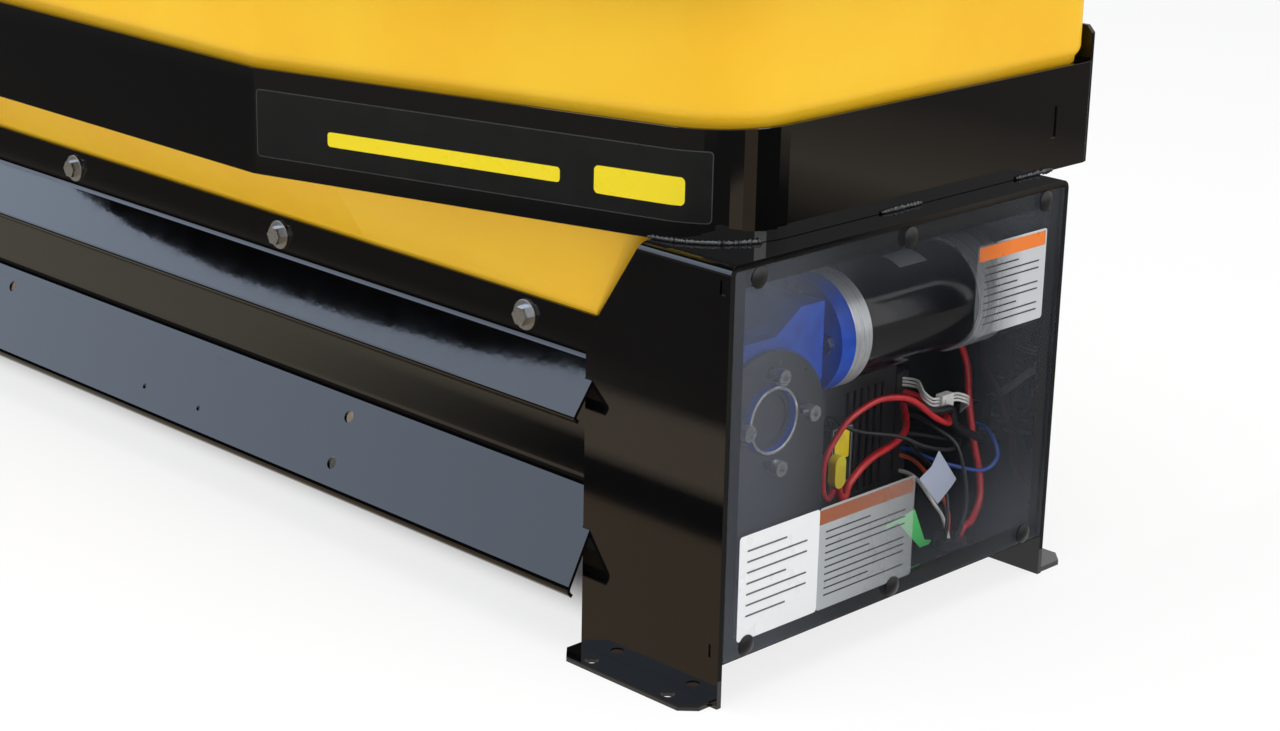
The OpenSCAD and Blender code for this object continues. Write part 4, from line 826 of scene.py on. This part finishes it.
def make_wires(name, finish, runs, replaces=()):
    """Round insulated wires, one piece for each colour; a run is a route, a radius and a shift up in mm."""
    corners, faces = [], []
    for route, radius, up in runs:
        line = smooth_path([drive(x, y, z + up) for x, y, z in route])
        ring_corners, ring_faces = lofted(tube(line, [radius * MM] * len(line), WIRE_SIDES))
        faces += [[len(corners) + i for i in face] for face in ring_faces]
        corners += ring_corners
    return make(name, corners, faces, finish, angle=50, replaces=replaces)


make_wires("red_insulation", "insulation_red",
           [(motor_lead, 3.2, 0), (fuse_lead, 2.6, 0), (feed_lead, 3.2, 0)], ["red_wires"])
make_wires("black_insulation", "insulation_black",
           [(lead, LEAD_RADIUS, 0) for lead in (relay_lead, ground_lead, signal_lead)], ["black_wires"])
make_wires("blue_insulation", "insulation_blue", [(blue_lead, LEAD_RADIUS, 0)], ["blue_wire"])
make_wires("orange_insulation", "insulation_orange", [(orange_lead, LEAD_RADIUS, 0)], ["orange_wire"])
make_wires("white_insulation", "insulation_white",
           [(white_lead, LEAD_RADIUS, 0)] + [(route, 1.1, side * SENSOR_PITCH)
                                     for route in (sensor_in, sensor_out) for side in (-1, 0, 1)],
           ["white_wires"])
make_wires("loom_sleeve", "insulation_black", [(sleeve, 3.6, 0)])


def make_ribbon(name, pairs, finish):
    """A strip of tape or label between pairs of edge places, in the drive box's mm."""
    corners = [drive(*place) for pair in pairs for place in pair]
    faces = [[2 * i, 2 * i + 2, 2 * i + 3, 2 * i + 1] for i in range(len(pairs) - 1)]
    piece = make(name, corners, faces, finish, angle=60)
    thick = piece.modifiers.new("tape", "SOLIDIFY")
    thick.thickness = 0.3 * MM
    return piece


flag = make_ribbon("cable_flag", [((-34, 297, 131), (-34, 323, 99)), ((-37, 292, 117), (-37, 321, 92)),
                                  ((-35, 274, 111), (-36, 302, 81))], "flag_grey")
tape = make_ribbon("green_tape", [((-30, 225, 83), (-30, 226, 79)), ((-28, 261, 89), (-29, 241, 82)),
                                  ((-31, 280, 56), (-30, 273, 51)), ((-33, 292, 52), (-33, 289, 49))],
                   "tape_green")
tag = make_ribbon("white_tag", [((-45, 167, 91), (-45, 168, 108)), ((-44, 178, 89), (-44, 179, 107)),
                                ((-45, 187, 91), (-45, 187, 106))], "label_white")
make_ribbon("tag_tail", [((-45, 171, 91), (-45, 175, 93)), ((-43, 187, 81), (-44, 189, 84)),
                         ((-46, 202, 73), (-46, 203, 76))], "tag_pink")


# ---------------- labels and bright parts in the drive box

def make_drive_details():
    """The motor's and relay's labels, and the machined ring on the gearbox's output boss."""
    motor_low, motor_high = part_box("motor_can")
    axis_x, axis_z = (motor_low.x + motor_high.x) / 2, (motor_low.z + motor_high.z) / 2
    reach = (motor_high.z - motor_low.z) / 2 + 0.2 * MM

    def on_can(y, degrees):
        turn = math.radians(degrees)
        return Vector((axis_x + reach * math.cos(turn), FRONT + y * MM, axis_z + reach * math.sin(turn)))

    film_strip("motor_label", (272, 307), (62, 88), "motor_label_silver", on_can, rows=8)

    relay_face = (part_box("relay_block")[1].x - OUT) / MM + 0.2

    def on_relay(y, z):
        return drive(relay_face, y, z)

    film_strip("relay_label", (211, 229), (131, 156), "label_yellow", on_relay, 1.5)
    front, back, low, top = 208, 232, 109, 158.3
    for name, span, height in [("relay_line_top", (front + 1, back - 1), (top - 0.8, top)),
                               ("relay_line_low", (front + 1, back - 1), (low, low + 1)),
                               ("relay_line_front", (front, front + 1), (low, top)),
                               ("relay_line_back", (back - 1, back), (low, top))]:
        film_strip(name, span, height, "motor_label_silver", on_relay)

    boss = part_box("worm_wheel")
    axis_y, axis_z = (boss[0].y + boss[1].y) / 2, (boss[0].z + boss[1].z) / 2
    face_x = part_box("gearbox_housing")[1].x
    sides = 64
    turns = [math.tau * k / sides for k in range(sides)]
    # the ring's section: mm out from the housing's face, and the radius there
    section = [(0, 27.8), (0.4, 27.4), (0.4, 25.6), (0, 25.2)]
    rings = [[Vector((face_x + x * MM, axis_y + radius * MM * math.cos(t),
                      axis_z + radius * MM * math.sin(t))) for t in turns] for x, radius in section]
    make("boss_ring", *lofted(rings, closed=True), "boss_steel")


make_drive_details()


# ---------------- light, floor and background

# Places on the stage are in metres. AWAY leads from the machine's front to the softbox at the front left
AWAY = Vector((-0.70, -0.714, 0))
ACROSS = Vector((0.714, -0.70, 0))
FRONT_MIDDLE = Vector((0, -0.2, 0))
SKY_AT = 4
FLAG_AT = 3.9


def facing(distance, across, z):
    """A place on an upright plane that faces the machine from the front left."""
    return FRONT_MIDDLE + AWAY * distance + ACROSS * across + Vector((0, 0, z))


def screen(distance, left, right, low, high):
    """The corners of an upright rectangle on that plane."""
    places = [(left, low), (right, low), (right, high), (left, high)]
    return [facing(distance, across, z) for across, z in places]


def patch(x_low, x_high, y_low, y_high, z):
    """The corners of a level rectangle."""
    return [(x_low, y_low, z), (x_high, y_low, z), (x_high, y_high, z), (x_low, y_high, z)]


def seen_directly(tree):
    """One for camera, glossy and transmission rays, and nothing for the rest."""
    path = add(tree, "ShaderNodeLightPath").outputs
    seen = maths(tree, "MAXIMUM", path["Is Camera Ray"], path["Is Glossy Ray"])
    return maths(tree, "MAXIMUM", seen, path["Is Transmission Ray"])


def make_world():
    """White where it is seen, and half as bright as a light."""
    world = bpy.data.worlds.new("studio")
    bpy.context.scene.world = world
    world.use_nodes = True
    tree = world.node_tree
    background = tree.nodes["Background"]
    background.inputs["Color"].default_value = (1, 1, 1, 1)
    level = add(tree, "ShaderNodeMapRange", {"Value": seen_directly(tree), "To Min": 0.5, "To Max": 1.0})
    tree.links.new(level.outputs["Result"], background.inputs["Strength"])


def make_floor():
    """A pale floor that reads as the white background, but keeps the shadow and the dark under it."""
    size = 12
    material, tree, shader, place = start("pale_floor", "#eeeeee", 0.0, 0.6)
    share = maths(tree, "MULTIPLY", seen_directly(tree), 0.8)
    under = None
    # the dark under the machine: an axis, where it starts and where it is full
    sides = [("X", -0.78, -0.7), ("X", 0.76, 0.68), ("Y", -0.16, -0.08), ("Y", 0.34, 0.26)]
    for axis, outside, inside in sides:
        side = smooth_rise(tree, part_of(tree, place, axis), outside, inside)
        under = side if under is None else maths(tree, "MULTIPLY", under, side)
    share = maths(tree, "MULTIPLY", share, maths(tree, "SUBTRACT", 1.0, under))
    white = add(tree, "ShaderNodeEmission", {"Color": (1, 1, 1, 1), "Strength": 1.0})
    both = add(tree, "ShaderNodeMixShader", {0: share, 1: shader.outputs[0], 2: white.outputs[0]})
    tree.links.new(both.outputs[0], tree.nodes["Material Output"].inputs["Surface"])
    new_object("floor", patch(-size, size, -size, size, 0), [range(4)], material)


def colour_bands(tree, place, bands):
    """Colour by y: each band is a y in metres, from low to high, and a linear colour."""
    near, far = bands[0][0], bands[-1][0]
    ramp = add(tree, "ShaderNodeValToRGB", {"Fac": spread(tree, part_of(tree, place, "Y"), 0, 1, near, far)})
    for number, (stop, colour) in enumerate(bands):
        share = (stop - near) / (far - near)
        elements = ramp.color_ramp.elements
        element = elements[number] if number < 2 else elements.new(share)
        element.position = share
        element.color = (*colour, 1)
    return ramp.outputs["Color"]


def make_card(name, corners, bands=((0, (0, 0, 0)), (1, (0, 0, 0))), strength=1.0, left=None, change=(0, 1)):
    """A flat glowing card that only reflections show: a painted reflection, not a lamp. The left bands give
    way to the others across a change in x.
    """
    material = bpy.data.materials.new(name)
    material.use_nodes = True
    material.cycles.emission_sampling = "NONE"
    tree = material.node_tree
    tree.nodes.remove(tree.nodes["Principled BSDF"])
    place = add(tree, "ShaderNodeTexCoord").outputs["Object"]
    colour = colour_bands(tree, place, bands)
    if left:
        share = smooth_rise(tree, part_of(tree, place, "X"), *change)
        colour = blend(tree, share, colour_bands(tree, place, left), colour)
    glow = add(tree, "ShaderNodeEmission", {"Color": colour, "Strength": strength})
    tree.links.new(glow.outputs[0], tree.nodes["Material Output"].inputs["Surface"])
    card = new_object(name, corners, [range(len(corners))], material)
    card.visible_camera = False
    card.visible_diffuse = False
    card.visible_transmission = False
    card.visible_shadow = False
    card.visible_volume_scatter = False


def make_cards():
    """What the gloss black shows, painted as reflections only: a glowing cool sky behind black flags, and a
    floor in brown and dark bands, the dark ones painted shadow on the reflected ground.
    """
    sky = [(-5, (0.68, 0.8, 1.0)), (0, (0.68, 0.8, 1.0))]
    left, right, low, middle, high = -2.3, 1.2, 0.8, 1.85, 3.6
    make_card("low_sky", screen(SKY_AT, left, right, low, middle), sky, 2.75)
    make_card("high_sky", screen(SKY_AT, left, right, middle, high), sky, 3.3)
    edge = [(-1.42, 5.5), (-1.42, 2.2), (-1.24, 2.26), (-1.0, 2.39), (-0.73, 2.59), (-0.46, 2.82),
            (-0.23, 3.06), (0.8, 4.2), (0.8, 5.5)]
    make_card("upper_flag", [facing(FLAG_AT, across, z) for across, z in edge])
    make_card("lower_flag", screen(FLAG_AT, left, 1.5, 0, low))

    # The floor's cards part at a line under the machine's front. Their colours are linear
    front, far, front_z, side_z = -0.195, 4, 0.003, 0.004
    brown, pale_brown, left_brown = (0.55, 0.41, 0.28), (0.75, 0.6, 0.45), (0.7, 0.63, 0.5)
    black, dark_grey, dim = (0.03, 0.03, 0.03), (0.09, 0.085, 0.08), (0.1, 0.09, 0.08)
    grey = (0.25, 0.23, 0.2)
    near_grey, far_grey, buff = (0.24, 0.23, 0.21), (0.18, 0.16, 0.14), (0.5, 0.42, 0.33)
    away = [(-far, grey), (-1.75, grey), (-1.5, dark_grey), (-1.0, dim)]
    bands = away + [(-0.68, dim), (-0.65, pale_brown), (-0.53, pale_brown), (-0.51, black), (-0.45, black),
                    (-0.43, brown), (front, brown)]
    left_bands = away + [(-0.75, dim), (-0.6, left_brown), (front, left_brown)]
    make_card("front_floor_card", patch(-5, 3.5, -far, front, front_z), bands, left=left_bands,
              change=(-0.2, 0.45))
    make_card("right_floor_card", patch(1.7, 3.5, front, far, side_z),
              [(front, black), (0.9, black), (1.2, buff), (1.65, far_grey), (far, far_grey)])
    make_card("near_floor_card", patch(0.9, 1.7, front, far, side_z), [(front, near_grey), (far, near_grey)])


def make_lamps():
    """Soft light from above, from the front left and along the drive end."""
    across, up = (-2.2, 1.0), (0.8, 3.4)
    front_place = facing(SKY_AT, sum(across) / 2, sum(up) / 2)
    # name, place, aim, size, power, colour
    softboxes = [
        ("overhead", Vector((0.6, -0.6, 3.2)), Vector((0, 0, 0.3)), (3.2, 2.4), 98, (1, 1, 1)),
        ("front_left", front_place, front_place - AWAY, (across[1] - across[0], up[1] - up[0]), 78,
         (0.74, 0.83, 1)),
        ("drive_end", Vector((3.6, 0.6, 1.9)), Vector((0.8, 0, 0.25)), (1.2, 1.6), 26, (1, 1, 1)),
    ]
    for name, place, aim, shape, power, colour in softboxes:
        light = bpy.data.lights.new(name, "AREA")
        light.shape = "RECTANGLE"
        light.size, light.size_y = shape
        light.energy = power
        light.color = colour
        lamp = bpy.data.objects.new(name, light)
        lamp.location = place
        lamp.rotation_euler = (aim - place).to_track_quat("-Z", "Y").to_euler()
        lamp.visible_camera = False
        lamp.visible_glossy = name != "front_left"  # the sky cards stand in for it in reflections
        bpy.context.scene.collection.objects.link(lamp)


make_world()
make_floor()
make_cards()
make_lamps()
bpy.context.scene.view_settings.view_transform = "Standard"


# ---------------- how far things show from their points

def finished_vertices(piece):
    """A piece's vertices as finished and placed."""
    shown = piece.evaluated_get(bpy.context.evaluated_depsgraph_get())
    mesh = shown.to_mesh()
    places = [piece.matrix_world @ vertex.co for vertex in mesh.vertices]
    shown.to_mesh_clear()
    return places


def measure_points():
    """How far in x and y each thing shows from its image point, by the finished vertices that show."""
    films = [piece for piece in made if piece.name.startswith(("upper_sticker", "lower_sticker"))]
    opaque = [piece for piece in made if piece not in films]
    opaque += [node for name, node in nodes.items() if name not in hidden and name != "clear_cover"]
    tree = surface_tree(opaque)
    slack = 1.5 * MM  # a vertex that is nearer than this to what hides it counts as showing

    def showing(pieces):
        spots = []
        for place in [place for piece in pieces for place in finished_vertices(piece)]:
            to_place = place - CAMERA_PLACE
            hit = tree.ray_cast(CAMERA_PLACE, to_place.normalized())[3]
            if hit is None or hit > to_place.length - slack:
                spots.append(shows_at(place))
        return spots

    def near(point, pieces, reach):
        """Where vertices show within a reach in pixels of an image point."""
        x, y = image_points[point]
        return [spot for spot in showing(pieces) if math.hypot(spot[0] - x, spot[1] - y) < reach]

    def middle(spots):
        """The middle of the box round some spots."""
        xs, ys = [spot[0] for spot in spots], [spot[1] for spot in spots]
        return (min(xs) + max(xs)) / 2, (min(ys) + max(ys)) / 2

    cover, end_frame = nodes["clear_cover"], nodes["drive_end_frame"]
    corners = {"cover_upper_front": (cover_low.y, cover_high.z),
               "cover_upper_rear": (cover_high.y, cover_high.z),
               "cover_lower_front": (cover_low.y, cover_low.z),
               "cover_lower_rear": (cover_high.y, cover_low.z)}
    found = {}
    for point, (y, z) in corners.items():
        corner = Vector((OUT, y, z))
        found[point] = shows_at(min(finished_vertices(cover), key=lambda place: (place - corner).length))
    for point in ("hopper_bolt_right", "hopper_bolt_middle", "hopper_bolt_left"):
        found[point] = middle(near(point, [nodes["hopper_washers"], nodes["hopper_bolts"]], 26))
    found["rivet_upper_middle"] = middle(near("rivet_upper_middle", [nodes["cover_rivets"]], 16))
    found["foot_hole"] = middle(near("foot_hole", [end_frame], 16))
    right = showing([nodes["drive_band"], nodes["back_plate"], hopper])
    found["band_right_edge_x"] = (max(spot[0] for spot in right), None)
    found["foot_bottom_edge_y"] = (None, max(spot[1] for spot in showing([end_frame])))
    soft = {"upper_sticker": upper_sticker, "lower_sticker": lower_sticker, "band_decal": decal,
            "cable_flag": [flag], "green_tape": [tape], "white_tag": [tag]}
    for point, pieces in soft.items():
        found[point] = middle(showing(pieces))
    for weld in welds:
        found[weld.name] = middle(showing([weld]))
    return {point: [None if where is None else round(spot - where, 1)
                    for spot, where in zip(found[point], image_points[point])] for point in image_points}


measure_points()
